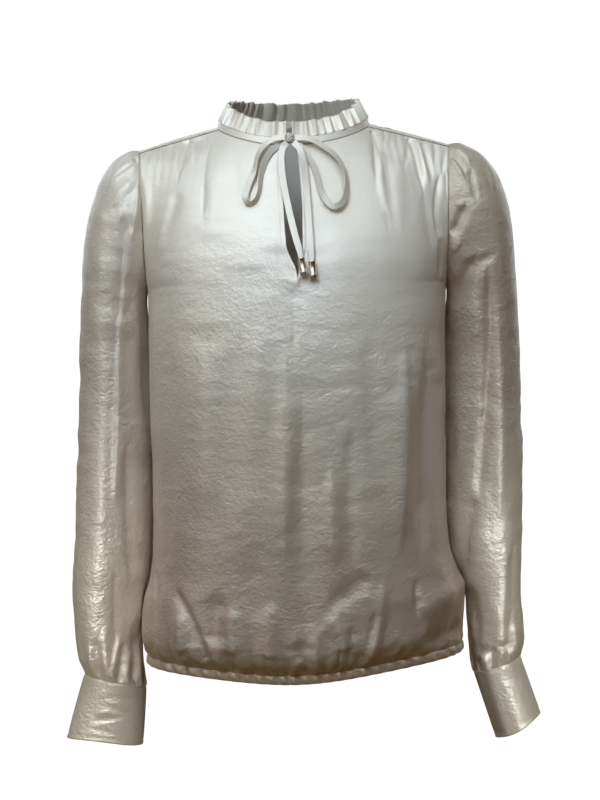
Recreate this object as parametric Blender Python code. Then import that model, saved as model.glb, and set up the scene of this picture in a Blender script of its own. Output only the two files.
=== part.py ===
"""Blouse of hammered satin, modelled as it hangs on a wearer: gathered shoulders, a frilled stand
collar over a keyhole slit with a tied bow, full sleeves on deep cuffs and an elasticated hem.

Sizes are in millimetres and turned into metres when a mesh is made. X runs to the viewer's right,
-Y to the viewer and Z up. The origin is at the height of the highest point of the shoulder, on the
middle line, where the neck and shoulders carry the blouse.

Each cut piece is a wall: a grid of outer points worked out from tables of sizes, the same grid set
back by the wall's thickness, and a rim that joins the two along every edge.
"""

import math
from collections import namedtuple

import bpy
import numpy as np

# Unit, small steps and walls
MM = 0.001
TINY = 1e-9
STEP = 1e-3
HEIGHT_STEP = 0.5
MERGE_DECIMALS = 4
SHARP_ANGLE = 50.0
WALL = 1.6
BAND_WALL = 2.4
CUFF_WALL = 2.2
FRILL_WALL = 1.2
SEAM_GAP = 0.3
LEAST_INWARD = 0.05

FRONT = -1
BACK = 1
LEFT = -1
RIGHT = 1

# Body below the underarm: a rounded ring at each height, read from the middle of the side seams
SIDE_Y = 3.0
SQUARENESS = 2.35
UNDERARM_Z = -182.0
BodyRow = namedtuple("BodyRow", "height half_left half_right front_depth back_depth")
BODY = (
    BodyRow(-588, 176.5, 176.5, 113, 106),
    BodyRow(-578, 181.5, 178.5, 124, 115),
    BodyRow(-564, 184.5, 179.5, 130, 120),
    BodyRow(-545, 183.5, 181.5, 132, 121),
    BodyRow(-525, 180.5, 182.5, 131, 119),
    BodyRow(-505, 174.0, 174.5, 129, 116),
    BodyRow(-475, 169.5, 166.0, 126, 111),
    BodyRow(-430, 168.0, 163.0, 123, 105),
    BodyRow(-370, 167.5, 163.5, 121, 101),
    BodyRow(-300, 168.0, 164.0, 121, 101),
    BodyRow(-240, 168.0, 165.5, 122, 104),
    BodyRow(UNDERARM_Z, 168.0, 168.0, 119, 106),
)

# Hem line: lower at the middle of the front and back, and a little lower on the left
HEM_Z = -588.0
HEM_TILT = 4.0
HEM_DIP_FRONT = 18.0
HEM_DIP_BACK = 8.0
HEM_SHIFT_TOP_Z = -430.0

# Armhole: an upright oval in a plane that leans out a little towards the shoulder
ARM_TOP_Z = -24.0
ARM_CENTRE_Z = (ARM_TOP_Z + UNDERARM_Z) / 2
ARM_HALF_HEIGHT = (ARM_TOP_Z - UNDERARM_Z) / 2
ARM_FRONT = 46.0
ARM_BACK = 50.0
ArmRow = namedtuple("ArmRow", "height x")
ARM_LEAN = (
    ArmRow(UNDERARM_Z, 168.0),
    ArmRow(-140, 169.5),
    ArmRow(-100, 170.0),
    ArmRow(-60, 171.5),
    ArmRow(ARM_TOP_Z, 174.0),
)

# Neckline: an oval in plan, high at the sides and back, low at the front
NECK_HALF_WIDTH = 86.0
NECK_HALF_DEPTH = 62.5
NECK_Y = -2.5
NECK_RISE = 17.0
NECK_SAG = 12.0

# Shoulder strip: between the forward seam and the back seam
STRIP_FRONT_NECK_Y = -16.0
STRIP_FRONT_ARM_Y = -11.0
STRIP_BACK_NECK_Y = 3.0
STRIP_CROWN = 1.2
NECK_SHARE = 0.5

# Keyhole slit: half width and middle of the gap at each height
SlitRow = namedtuple("SlitRow", "height half middle")
SLIT = (
    SlitRow(UNDERARM_Z, 0.0, 1.0),
    SlitRow(-175, 0.9, 1.2),
    SlitRow(-166, 2.6, 1.0),
    SlitRow(-157, 5.6, -0.4),
    SlitRow(-142, 9.0, -1.6),
    SlitRow(-92, 10.3, -2.7),
    SlitRow(-60, 10.0, -4.0),
    SlitRow(-42, 8.6, -4.5),
    SlitRow(-29, 3.4, -4.5),
)
SLIT_SPREAD = 0.45

# Direction in which the cloth leaves the top edge, by its place from the middle (0) to the arm (1)
LeaveRow = namedtuple("LeaveRow", "share x y z")
LEAVE_FRONT = (
    LeaveRow(0.00, 0.00, -0.50, -0.87),
    LeaveRow(0.25, 0.25, -0.52, -0.80),
    LeaveRow(0.40, 0.42, -0.60, -0.68),
    LeaveRow(0.50, 0.38, -0.70, -0.60),
    LeaveRow(0.75, 0.12, -0.76, -0.64),
    LeaveRow(1.00, 0.02, -0.75, -0.66),
)
LEAVE_BACK = (
    LeaveRow(0.00, 0.00, 0.40, -0.91),
    LeaveRow(0.25, 0.32, 0.52, -0.79),
    LeaveRow(0.40, 0.52, 0.66, -0.52),
    LeaveRow(0.50, 0.40, 0.82, -0.40),
    LeaveRow(0.75, 0.15, 0.88, -0.45),
    LeaveRow(1.00, 0.02, 0.78, -0.62),
)
LEAVE_REACH = 0.8
ARM_PULL = 3.0
SEAM_LEAN_FRONT = (0.30, -0.50, 0.81)
SEAM_LEAN_BACK = (0.33, 0.35, 0.88)

# Gathers: how many, how deep, how far they run from the seam and how fast they fade. A wave is its
# height, its rate and its phase, and makes the gathers uneven.
Wave = namedtuple("Wave", "height rate phase")
GatherRow = namedtuple("GatherRow", "face side folds depth lift run")
SHOULDER_GATHERS = (
    GatherRow(FRONT, LEFT, 8, 1.5, 0.0, 90.0),
    GatherRow(FRONT, RIGHT, 8, 1.5, 0.0, 90.0),
    GatherRow(BACK, LEFT, 5, 1.0, 0.6, 60.0),
    GatherRow(BACK, RIGHT, 4, 2.6, 3.0, 60.0),
)
SHOULDER_GATHER_FADE = 1.3
SHOULDER_GATHER_ENDS = 0.11
SHOULDER_GATHER_AT_SEAM = 0.4
SHOULDER_GATHER_RISE = 6.0
SHOULDER_GATHER_AT_ARM = 0.45
SHOULDER_SEAM_NECK_Z = -3.0
SHOULDER_SEAM_ARM_Z = -26.0
HEM_FOLDS = 15
HEM_FOLD_DEPTH = 3.2
HEM_FOLD_RUN = 95.0
HEM_FOLD_FADE = 1.5
HEM_FOLD_AT_SEAM = 0.5
HEM_FOLD_RISE = 20.0
HEM_FOLD_DRIFT = (Wave(0.5, 7.3, 0.6), Wave(0.3, 17.0, 0.0))
HEM_FOLD_UNEVEN = (Wave(0.19, 9.0, 1.0),)

# Main folds of the body, as troughs (depth below 0) and ridges: u runs from the left side seam (-1)
# to the right one (1), and width is in millimetres, with HALF_GIRTH to one step of u
HALF_GIRTH = 215.0
FOLD_END_TOP = (-0.08, 0.15)
FOLD_END_BOTTOM = (-0.08, 0.2)
FoldRow = namedtuple("FoldRow", "face u_top z_top u_bottom z_bottom width depth")
BODY_FOLDS = (
    FoldRow(FRONT, 0.74, -150, 0.80, -560, 17, -5.0),
    FoldRow(FRONT, 0.88, -230, 0.86, -520, 15, 3.5),
    FoldRow(FRONT, -0.62, -480, -0.42, -600, 12, -5.0),
    FoldRow(FRONT, -0.30, -500, -0.16, -600, 12, -3.5),
    FoldRow(FRONT, 0.05, -470, 0.02, -600, 13, -3.0),
    FoldRow(FRONT, 0.34, -450, 0.28, -600, 12, -4.0),
    FoldRow(FRONT, 0.60, -480, 0.50, -600, 12, -4.0),
    FoldRow(FRONT, -0.82, -180, -0.80, -470, 15, -3.0),
    FoldRow(FRONT, -0.55, -60, -0.45, -230, 13, 3.0),
    FoldRow(FRONT, 0.58, -60, 0.47, -230, 13, 3.0),
    FoldRow(FRONT, 0.80, -60, 0.72, -200, 12, 2.5),
    FoldRow(FRONT, -0.78, -60, -0.70, -220, 12, 2.5),
    FoldRow(BACK, -0.60, -60, -0.50, -330, 18, 3.5),
    FoldRow(BACK, 0.62, -60, 0.50, -360, 18, 3.5),
    FoldRow(BACK, -0.25, -470, -0.20, -600, 16, -4.0),
    FoldRow(BACK, 0.10, -440, 0.12, -600, 16, -4.0),
    FoldRow(BACK, 0.48, -460, 0.45, -600, 15, -4.5),
    FoldRow(BACK, -0.66, -450, -0.60, -600, 15, -4.5),
)
SIDE_CALM = 0.12

# Sleeves: each ring runs from a point on the outside of the arm to one on the inside
SleeveRow = namedtuple("SleeveRow", "ring out_x out_y out_z in_x in_y in_z front back")
SLEEVE_LEFT = (
    SleeveRow(0, 174, 3, -24, 168, 3, -182, 46, 50),
    SleeveRow(1, 182, 3, -23, 169, 4, -185, 50, 53),
    SleeveRow(2, 201, 4, -33, 170, 7, -191, 54, 55),
    SleeveRow(3, 218, 6, -55, 170.3, 12, -199, 56, 56),
    SleeveRow(4, 231, 8, -85, 169.9, 18, -210, 57, 56),
    SleeveRow(5, 238.5, 9, -119, 169.3, 23, -224, 57, 55),
    SleeveRow(6, 243, 10, -165, 168.3, 27, -245, 56, 53),
    SleeveRow(7, 246.5, 10, -225, 168, 29, -280, 55, 51),
    SleeveRow(8, 249.5, 10, -302, 167.5, 29, -335, 54, 50),
    SleeveRow(9, 254, 10, -390, 168, 29, -408, 53, 49),
    SleeveRow(10, 258, 11, -450, 170, 29, -458, 53, 49),
    SleeveRow(11, 261.5, 12, -495, 175, 30, -497, 53, 49),
    SleeveRow(12, 263, 13, -532, 184.5, 30, -535, 52, 48),
    SleeveRow(13, 261, 14, -567, 187.5, 28, -570, 49, 46),
    SleeveRow(14, 257.5, 15, -594, 186.5, 24, -603, 44, 42),
    SleeveRow(15, 251, 16, -614, 182, 20, -630, 35, 34),
)
SLEEVE_RIGHT = (
    SleeveRow(0, 174, 3, -24, 168, 3, -182, 46, 50),
    SleeveRow(1, 185, 3, -23, 169, 4, -185, 50, 53),
    SleeveRow(2, 208.5, 4, -35, 169.8, 7, -191, 54, 55),
    SleeveRow(3, 228.5, 6, -58, 169.6, 12, -199, 56, 56),
    SleeveRow(4, 241.5, 8, -90, 168.8, 18, -210, 57, 56),
    SleeveRow(5, 246, 9, -127, 167.8, 23, -224, 57, 55),
    SleeveRow(6, 248.5, 10, -175, 166.5, 27, -245, 56, 53),
    SleeveRow(7, 250.5, 10, -240, 165.5, 29, -280, 55, 51),
    SleeveRow(8, 250.5, 10, -314, 164.5, 29, -338, 54, 50),
    SleeveRow(9, 251, 10, -392, 164.5, 29, -404, 53, 49),
    SleeveRow(10, 249.5, 11, -450, 167, 29, -452, 53, 49),
    SleeveRow(11, 248, 12, -492, 173, 30, -490, 53, 49),
    SleeveRow(12, 246.5, 13, -525, 184, 31, -524, 53, 49),
    SleeveRow(13, 247, 14, -556, 186, 29, -560, 51, 47),
    SleeveRow(14, 248.5, 15, -585, 187, 24, -597, 47, 45),
    SleeveRow(15, 244, 16, -604, 191, 20, -622, 40, 40),
)
LAST_RING = 15
ARM_BLEND_RINGS = 2.5
SLEEVE_CROWDING = 0.06

# Gathers at the sleeve's head and above its cuff
SLEEVE_HEAD_PLEATS = 4
SLEEVE_HEAD_DEPTH = 1.7
SLEEVE_HEAD_TURNS = (0.02, 0.22)
SLEEVE_HEAD_RINGS = 4.0
SLEEVE_HEAD_FADE = 1.2
SLEEVE_HEAD_AT_SEAM = 0.35
SLEEVE_HEAD_RISE = 0.7
SLEEVE_HEAD_ENDS = (-0.1, 0.1)
SLEEVE_CUFF_FOLDS = 12
SLEEVE_CUFF_DEPTH = 1.8
SLEEVE_CUFF_FIRST_RING = 12.2
SLEEVE_CUFF_FADE = 1.3
SLEEVE_CUFF_CALM_RING = 14.4
SLEEVE_CUFF_AT_SEAM = 0.4
SLEEVE_CUFF_DRIFT = 0.7

# Sleeve creases: place round the arm in turns (0 outside, 0.25 front, 0.75 back), rings, width, depth
CREASE_ENDS = (-0.05, 0.2)
CreaseRow = namedtuple("CreaseRow", "side turn_top ring_top turn_bottom ring_bottom width depth")
SLEEVE_CREASES = (
    CreaseRow(LEFT, 0.19, 3.0, 0.21, 14.6, 0.050, 3.2),
    CreaseRow(LEFT, 0.32, 4.0, 0.29, 13.5, 0.055, -3.0),
    CreaseRow(LEFT, 0.09, 2.5, 0.10, 9.0, 0.050, -2.0),
    CreaseRow(LEFT, 0.74, 3.0, 0.72, 14.0, 0.055, 3.0),
    CreaseRow(RIGHT, 0.18, 3.0, 0.17, 14.4, 0.050, 2.8),
    CreaseRow(RIGHT, 0.29, 5.0, 0.27, 13.8, 0.055, -3.2),
    CreaseRow(RIGHT, 0.06, 3.0, 0.09, 12.0, 0.050, -2.2),
    CreaseRow(RIGHT, 0.76, 3.0, 0.73, 14.0, 0.055, 3.0),
)

# Cuffs: each runs on from the last ring of its sleeve to a lower ring of its own
CuffRow = namedtuple("CuffRow", "side out_x out_y out_z in_x in_y in_z depth")
CUFFS = (
    CuffRow(LEFT, 273, 17, -686, 187, 21, -697, 24.0),
    CuffRow(RIGHT, 266, 17, -670, 215, 21, -699, 38.0),
)
CUFF_FLARE = 0.8
CUFF_RIPPLE = 0.9
CUFF_RIPPLES = 3
CUFF_ROWS = (1.0, 0.66, 0.33, 0.0)

# Neck band and frill
BAND_HEIGHT = 8.0
BAND_LEAN = 2.0
FRILL_HEIGHT = 19.0
FRILL_LEAN = 11.0
FRILL_WAVES = 42
FRILL_WAVE_FOOT = 0.9
FRILL_WAVE_TOP = 3.0
FRILL_DRIFT = (Wave(0.9, 5, 0.0), Wave(0.6, 11, 1.0))
FRILL_UNEVEN = (Wave(0.25, 7, 2.0),)

# Elasticated hem casing
CASING_HEIGHT = 10.0
CASING_THICKNESS = 5.0
CASING_RUCHES = 60
CASING_RUCHE_DEPTH = 0.9
CASING_RUCHE_SLANT = 0.9
CASING_SET_IN = 0.8
CASING_FLATNESS = 1.15
CASING_SIDES = 5

# Bow: two flat ties knotted over the slit, each with a loop and a tail that ends in a metal tip.
# Routes are the middle lines of the ties; turn is how far the flat side is twisted from the viewer.
TIE_WIDTH = 7.5
TIE_THICKNESS = 1.4
TIE_END_WIDTH = 5.0
TIE_GATHER_RUN = 0.12
TIE_SECTION = ((0.5, 0.0), (0.4, -0.5), (-0.4, -0.5), (-0.5, 0.0), (-0.4, 0.5), (0.4, 0.5))
ROUTE_SAMPLES = 24
KNOT_MIDDLE = (-4.4, -73.5, -22.8)
KNOT_HALF = (5.0, 4.6, 5.6)
KNOT_BACK = 12.6
KNOT_RINGS = 6
KNOT_COLUMNS = 12
KNOT_FLATNESS = 0.8
KNOT_FULLNESS = 0.7
RoutePoint = namedtuple("RoutePoint", "x y z turn")
LOOP_LEFT = (
    RoutePoint(-10.0, -71.5, -21.5, 15),
    RoutePoint(-15.0, -71.5, -21.8, 20),
    RoutePoint(-21.5, -71.5, -22.8, 25),
    RoutePoint(-29.5, -72.0, -27.5, 30),
    RoutePoint(-36.0, -74.5, -35.0, 40),
    RoutePoint(-40.5, -78.5, -45.0, 55),
    RoutePoint(-42.5, -83.0, -55.0, 50),
    RoutePoint(-46.0, -87.0, -65.0, 20),
    RoutePoint(-50.5, -90.5, -75.0, 0),
    RoutePoint(-53.5, -94.0, -85.0, 5),
    RoutePoint(-52.3, -97.5, -93.0, 35),
    RoutePoint(-46.5, -99.0, -95.5, 50),
    RoutePoint(-41.0, -97.5, -89.0, 55),
    RoutePoint(-38.0, -93.0, -79.0, 55),
    RoutePoint(-37.0, -87.5, -67.5, 45),
    RoutePoint(-33.5, -80.0, -53.0, 30),
    RoutePoint(-27.5, -74.6, -40.0, 15),
    RoutePoint(-19.0, -70.2, -32.0, 5),
    RoutePoint(-9.6, -67.3, -27.2, 0),
)
LOOP_RIGHT = (
    RoutePoint(1.2, -71.5, -22.8, -15),
    RoutePoint(10.0, -71.5, -22.5, -20),
    RoutePoint(19.0, -71.5, -24.5, -30),
    RoutePoint(29.0, -72.0, -30.0, -35),
    RoutePoint(39.5, -74.5, -38.0, -40),
    RoutePoint(49.0, -78.5, -48.0, -50),
    RoutePoint(55.0, -84.5, -62.0, -55),
    RoutePoint(56.5, -91.0, -77.0, -50),
    RoutePoint(54.5, -97.5, -91.0, -30),
    RoutePoint(48.5, -101.5, -99.5, -10),
    RoutePoint(41.0, -102.5, -101.0, 0),
    RoutePoint(33.5, -100.0, -94.0, -10),
    RoutePoint(28.0, -95.5, -83.0, -30),
    RoutePoint(25.0, -89.5, -69.0, -35),
    RoutePoint(20.5, -82.0, -54.0, -30),
    RoutePoint(13.5, -74.8, -40.0, -15),
    RoutePoint(6.5, -69.4, -31.0, -5),
    RoutePoint(0.8, -67.3, -27.2, 0),
)
TAIL_LEFT = (
    RoutePoint(-7.0, -74.8, -28.35, 0),
    RoutePoint(-11.8, -76.0, -33.5, 5),
    RoutePoint(-13.8, -79.5, -43.0, 10),
    RoutePoint(-13.9, -84.0, -54.0, 5),
    RoutePoint(-12.6, -91.0, -70.0, 0),
    RoutePoint(-10.0, -98.0, -86.0, 0),
    RoutePoint(-6.9, -104.5, -103.0, 5),
    RoutePoint(-3.7, -109.5, -119.0, 5),
    RoutePoint(0.0, -114.0, -135.0, 0),
    RoutePoint(3.4, -117.5, -148.5, 0),
    RoutePoint(5.0, -119.5, -158.0, 0),
)
TAIL_RIGHT = (
    RoutePoint(-0.5, -74.2, -27.3, 0),
    RoutePoint(5.6, -77.0, -34.0, -5),
    RoutePoint(8.8, -81.0, -43.0, -15),
    RoutePoint(11.0, -85.5, -53.0, -20),
    RoutePoint(12.2, -92.5, -69.0, -15),
    RoutePoint(13.2, -100.0, -88.0, -5),
    RoutePoint(14.0, -106.5, -107.0, 0),
    RoutePoint(14.8, -112.0, -127.0, 5),
    RoutePoint(15.9, -116.5, -146.0, 0),
    RoutePoint(16.7, -119.5, -161.5, 0),
)
TieRow = namedtuple("TieRow", "name route segments")
TIES = (
    TieRow("loop_left", LOOP_LEFT, 26),
    TieRow("loop_right", LOOP_RIGHT, 26),
    TieRow("tail_left", TAIL_LEFT, 16),
    TieRow("tail_right", TAIL_RIGHT, 16),
)

# Metal tips: a short tube with a rolled rim at each end, turned about the tail's own line
TipRow = namedtuple("TipRow", "along radius")
TIP_PROFILE = (
    TipRow(0.0, 3.5),
    TipRow(0.9, 4.1),
    TipRow(2.0, 3.9),
    TipRow(14.8, 3.9),
    TipRow(16.4, 4.3),
    TipRow(17.4, 4.1),
)
TIP_SIDES = 14
TIP_ROUTE_STEPS = 40

# How finely each piece is divided. Fine rows beside the seams have twice the columns of the coarse
# ones between. A row of the body is a height below the underarm (negative), or a share of the way
# from the underarm to the top edge. A row of a sleeve is a ring.
FRONT_COARSE = 20
BACK_COARSE = 14
BODY_ROWS_LOW = (HEM_Z, -577.0, -562.0)
FRONT_ROWS = (-537, -500, -445, -375, -305, -240, 0.0, 0.09, 0.20, 0.33, 0.48, 0.64)
FRONT_ROWS_HIGH = (0.78, 0.90, 1.0)
BACK_ROWS = (-535, -490, -420, -340, -260, 0.0, 0.14, 0.30, 0.48, 0.66)
BACK_ROWS_HIGH = (0.80, 0.90, 0.96, 1.0)
SLEEVE_COARSE = 22
SLEEVE_ROWS_LOW = (15.0, 14.3, 13.6)
SLEEVE_ROWS = (12.8, 12.0, 11.0, 9.7, 8.4, 7.2, 6.0, 5.0)
SLEEVE_ROWS_HIGH = (4.0, 3.0, 2.0, 1.0, 0.0)
CUFF_COLUMNS = 28
BAND_COLUMNS = 56
FRILL_PER_WAVE = 4
STRIP_COLUMNS = 10
CASING_PER_RUCHE = 2

SATIN = (0.66, 0.61, 0.54, 1.0)
SATIN_ROUGHNESS = 0.45
ROSE_STEEL = (0.74, 0.66, 0.60, 1.0)
STEEL_ROUGHNESS = 0.2


class Curve:
    """One column of a table read smoothly against another, with no overshoot between its rows."""

    def __init__(self, rows, key, value):
        rows = sorted(rows, key=lambda row: getattr(row, key))
        self.at = np.array([getattr(row, key) for row in rows], float)
        self.value = np.array([getattr(row, value) for row in rows], float)
        rise = np.diff(self.value) / np.diff(self.at)
        before, after = rise[:-1], rise[1:]
        total = np.where(before * after > 0, before + after, 1.0)
        inside = np.where(before * after > 0, 2 * before * after / total, 0.0)
        self.slope = np.concatenate([rise[:1], inside, rise[-1:]])

    def __call__(self, at):
        at = np.clip(at, self.at[0], self.at[-1])
        row = np.clip(np.searchsorted(self.at, at) - 1, 0, len(self.at) - 2)
        span = self.at[row + 1] - self.at[row]
        share = (at - self.at[row]) / span
        return hermite(
            self.value[row],
            self.value[row + 1],
            self.slope[row] * span,
            self.slope[row + 1] * span,
            share,
        )


def hermite(start, end, leave, arrive, share):
    """The cubic from start to end that leaves and arrives with the two given tangents."""
    s2 = share * share
    s3 = s2 * share
    return (
        (2 * s3 - 3 * s2 + 1) * start
        + (s3 - 2 * s2 + share) * leave
        + (3 * s2 - 2 * s3) * end
        + (s3 - s2) * arrive
    )


def ease(low, high, at):
    """A soft step from 0 at low to 1 at high."""
    share = np.clip((at - low) / (high - low), 0.0, 1.0)
    return share * share * (3 - 2 * share)


def mix(first, second, share):
    return first + (second - first) * share


def waves(rows, at):
    """The sum of a few waves."""
    return sum(row.height * np.sin(row.rate * at + row.phase) for row in rows)


def points_of(x, y, z):
    x, y, z = np.broadcast_arrays(x, y, z)
    return np.stack([x, y, z], axis=-1).astype(float)


def unit(vectors):
    return vectors / np.maximum(np.linalg.norm(vectors, axis=-1, keepdims=True), TINY)


HALF_LEFT = Curve(BODY, "height", "half_left")
HALF_RIGHT = Curve(BODY, "height", "half_right")
DEPTH = {
    FRONT: Curve(BODY, "height", "front_depth"),
    BACK: Curve(BODY, "height", "back_depth"),
}
ARM_X = Curve(ARM_LEAN, "height", "x")
SLIT_HALF = Curve(SLIT, "height", "half")
SLIT_MIDDLE = Curve(SLIT, "height", "middle")


def hem_shift(angle, face):
    """How far the hem line lies from its height at the sides."""
    dip = HEM_DIP_FRONT if face == FRONT else HEM_DIP_BACK
    return HEM_TILT * np.sin(angle) - dip * np.cos(angle) ** 2


def body_low(u, height, face):
    """A point of the body below the underarm, u from the left side seam (-1) to the right (1)."""
    angle = u * math.pi / 2
    half = np.where(u < 0, HALF_LEFT(height), HALF_RIGHT(height))
    across = np.abs(np.sin(angle)) / half
    along = np.abs(np.cos(angle)) / DEPTH[face](height)
    reach = (across**SQUARENESS + along**SQUARENESS) ** (-1 / SQUARENESS)
    drop = hem_shift(angle, face) * ease(HEM_SHIFT_TOP_Z, HEM_Z, height)
    return points_of(reach * np.sin(angle), SIDE_Y + face * reach * np.cos(angle), height + drop)


def armhole(turn, face, side):
    """A point of the armhole: turn is 0 at the shoulder and pi at the underarm."""
    depth = ARM_FRONT if face == FRONT else ARM_BACK
    height = ARM_CENTRE_Z + ARM_HALF_HEIGHT * np.cos(turn)
    return points_of(side * ARM_X(height), SIDE_Y + face * depth * np.sin(turn), height)


def neckline(angle):
    """A point of the neckline: angle is 0 at the middle of the back and pi at the front."""
    level = np.cos(angle)
    height = NECK_RISE * level - NECK_SAG * level**2
    x = NECK_HALF_WIDTH * np.sin(angle)
    share = NECK_SHARE * (math.pi - np.abs(angle)) / (math.pi - NECK_EDGE[FRONT])
    return slit_open(points_of(x, NECK_Y + NECK_HALF_DEPTH * level, height), share, np.sign(angle))


def slit_open(points, share, side):
    """Moves points near the middle of the front aside, to leave the keyhole slit."""
    pull = np.clip(1 - share / SLIT_SPREAD, 0, 1) ** 2
    height = points[..., 2]
    moved = points.copy()
    moved[..., 0] += pull * (SLIT_MIDDLE(height) + side * SLIT_HALF(height))
    return moved


# Angle of the neckline, and turn of the armhole, at the two seams of the shoulder strip
NECK_EDGE = {
    FRONT: math.acos((STRIP_FRONT_NECK_Y - NECK_Y) / NECK_HALF_DEPTH),
    BACK: math.acos((STRIP_BACK_NECK_Y - NECK_Y) / NECK_HALF_DEPTH),
}
ARM_EDGE = {
    FRONT: math.asin((SIDE_Y - STRIP_FRONT_ARM_Y) / ARM_FRONT),
    BACK: 0.0,
}


def shoulder_seam(share, face, side):
    """A point of the seam between a shoulder strip and the front or back, 0 at the neck."""
    neck = neckline(side * NECK_EDGE[face])
    arm = armhole(ARM_EDGE[face], face, side)
    return mix(neck, arm, np.asarray(share, float)[..., None])


def seam_inward(face, side):
    """The direction in which the walls go at that seam, the same on both of its pieces."""
    lean = SEAM_LEAN_FRONT if face == FRONT else SEAM_LEAN_BACK
    return -unit(np.array([side * lean[0], lean[1], lean[2]]))


def seam_aside(face, side):
    """The direction from that seam into the front or back, square to the seam and its wall."""
    along = shoulder_seam(1.0, face, side) - shoulder_seam(0.0, face, side)
    across = unit(np.cross(along, seam_inward(face, side)))
    return across * np.sign(across[1]) * face


def body_edge(u, face, side):
    """The top edge of the front or back: the neckline, then the shoulder seam."""
    share = np.abs(u)
    middle = math.pi if face == FRONT else 0.0
    angle = mix(middle, NECK_EDGE[face], np.clip(share / NECK_SHARE, 0, 1))
    neck = neckline(side * np.where(angle == 0, TINY, angle))
    seam = shoulder_seam(np.clip((share - NECK_SHARE) / (1 - NECK_SHARE), 0, 1), face, side)
    return np.where((share <= NECK_SHARE)[..., None], neck, seam)


def leave_direction(u, face, side):
    rows = LEAVE_FRONT if face == FRONT else LEAVE_BACK
    share = np.abs(u)
    x, y, z = (Curve(rows, "share", axis)(share) for axis in ("x", "y", "z"))
    return unit(points_of(side * x, y, z))


def body_high(u, rise, face, side):
    """A point of the body above the underarm, rise from 0 there to 1 at the top edge."""
    rise = np.asarray(rise, float)[..., None]
    base = body_low(u, UNDERARM_Z, face)
    edge = body_edge(u, face, side)
    if face == FRONT:
        edge[..., 0] = unslit(edge, u, side)
    chord = np.linalg.norm(edge - base, axis=-1, keepdims=True)
    up = unit(base - body_low(u, UNDERARM_Z - 5.0, face))
    leave = leave_direction(u, face, side)
    point = hermite(base, edge, up * chord, -leave * chord * LEAVE_REACH, rise)

    corner = side * np.ones_like(np.asarray(u, float))
    corner_base = body_low(corner, UNDERARM_Z, face)
    corner_edge = body_edge(corner, face, side)
    corner_chord = np.linalg.norm(corner_edge - corner_base, axis=-1, keepdims=True)
    corner_up = unit(corner_base - body_low(corner, UNDERARM_Z - 5.0, face))
    corner_leave = leave_direction(corner, face, side)
    plain = hermite(
        corner_base,
        corner_edge,
        corner_up * corner_chord,
        -corner_leave * corner_chord * LEAVE_REACH,
        rise,
    )
    turn = mix(math.pi, ARM_EDGE[face], rise[..., 0])
    pull = np.abs(u)[..., None] ** ARM_PULL
    point = point + (armhole(turn, face, side) - plain) * pull
    return slit_open(point, np.abs(u), side) if face == FRONT else point


def unslit(edge, u, side):
    """The neckline's x before the slit was opened in it."""
    pull = np.clip(1 - np.abs(u) / SLIT_SPREAD, 0, 1) ** 2
    return edge[..., 0] - pull * (SLIT_MIDDLE(edge[..., 2]) + side * SLIT_HALF(edge[..., 2]))


def body_point(u, level, face, side):
    """A point of the plain body: level is a height below the underarm, and 0 to 1 above it."""
    u = np.asarray(u, float)
    level = np.broadcast_to(np.asarray(level, float), u.shape)
    low = body_low(u, np.minimum(level, UNDERARM_Z), face)
    high = body_high(u, np.clip(level, 0, 1), face, side)
    return np.where((level < 0)[..., None], low, high)


def fold_height(points, u, face, side):
    """How far the gathers and folds stand out of the plain body, in millimetres."""
    height = points[..., 2]
    share = np.abs(u)
    above = height - hem_shift(u * math.pi / 2, face) - HEM_Z
    near_hem = np.clip(1 - above / HEM_FOLD_RUN, 0, 1) ** HEM_FOLD_FADE
    near_hem = near_hem * mix(HEM_FOLD_AT_SEAM, 1.0, ease(0, HEM_FOLD_RISE, above))
    calm = np.clip((1 - share) / SIDE_CALM, 0, 1)
    wave = np.cos(math.pi * HEM_FOLDS * (u + 1) + waves(HEM_FOLD_DRIFT, u))
    out = HEM_FOLD_DEPTH * (1 + waves(HEM_FOLD_UNEVEN, u)) * near_hem * wave * calm

    start = np.clip((share - NECK_SHARE) / (1 - NECK_SHARE), 0, 1)
    below = np.maximum(mix(SHOULDER_SEAM_NECK_Z, SHOULDER_SEAM_ARM_Z, start) - height, 0)
    ends = ease(0.0, SHOULDER_GATHER_ENDS, start) * ease(0.0, SHOULDER_GATHER_ENDS, 1 - start)
    ends = ends * mix(SHOULDER_GATHER_AT_SEAM, 1.0, ease(0, SHOULDER_GATHER_RISE, below))
    for row in SHOULDER_GATHERS:
        if (row.face, row.side) != (face, side):
            continue
        near_seam = np.clip(1 - below / row.run, 0, 1) ** SHOULDER_GATHER_FADE
        ripple = row.lift + row.depth * np.cos(2 * math.pi * row.folds * start)
        fade = mix(1.0, SHOULDER_GATHER_AT_ARM, start) if face == BACK else 1.0
        out = out + near_seam * ends * ripple * fade

    for row in BODY_FOLDS:
        if row.face != face:
            continue
        along = (height - row.z_top) / (row.z_bottom - row.z_top)
        middle = mix(row.u_top, row.u_bottom, np.clip(along, 0, 1))
        away = (u - middle) * HALF_GIRTH / row.width
        length = ease(*FOLD_END_TOP, along) * ease(*FOLD_END_BOTTOM, 1 - along)
        out = out + row.depth * length * np.exp(-away * away) * calm
    return out


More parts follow.
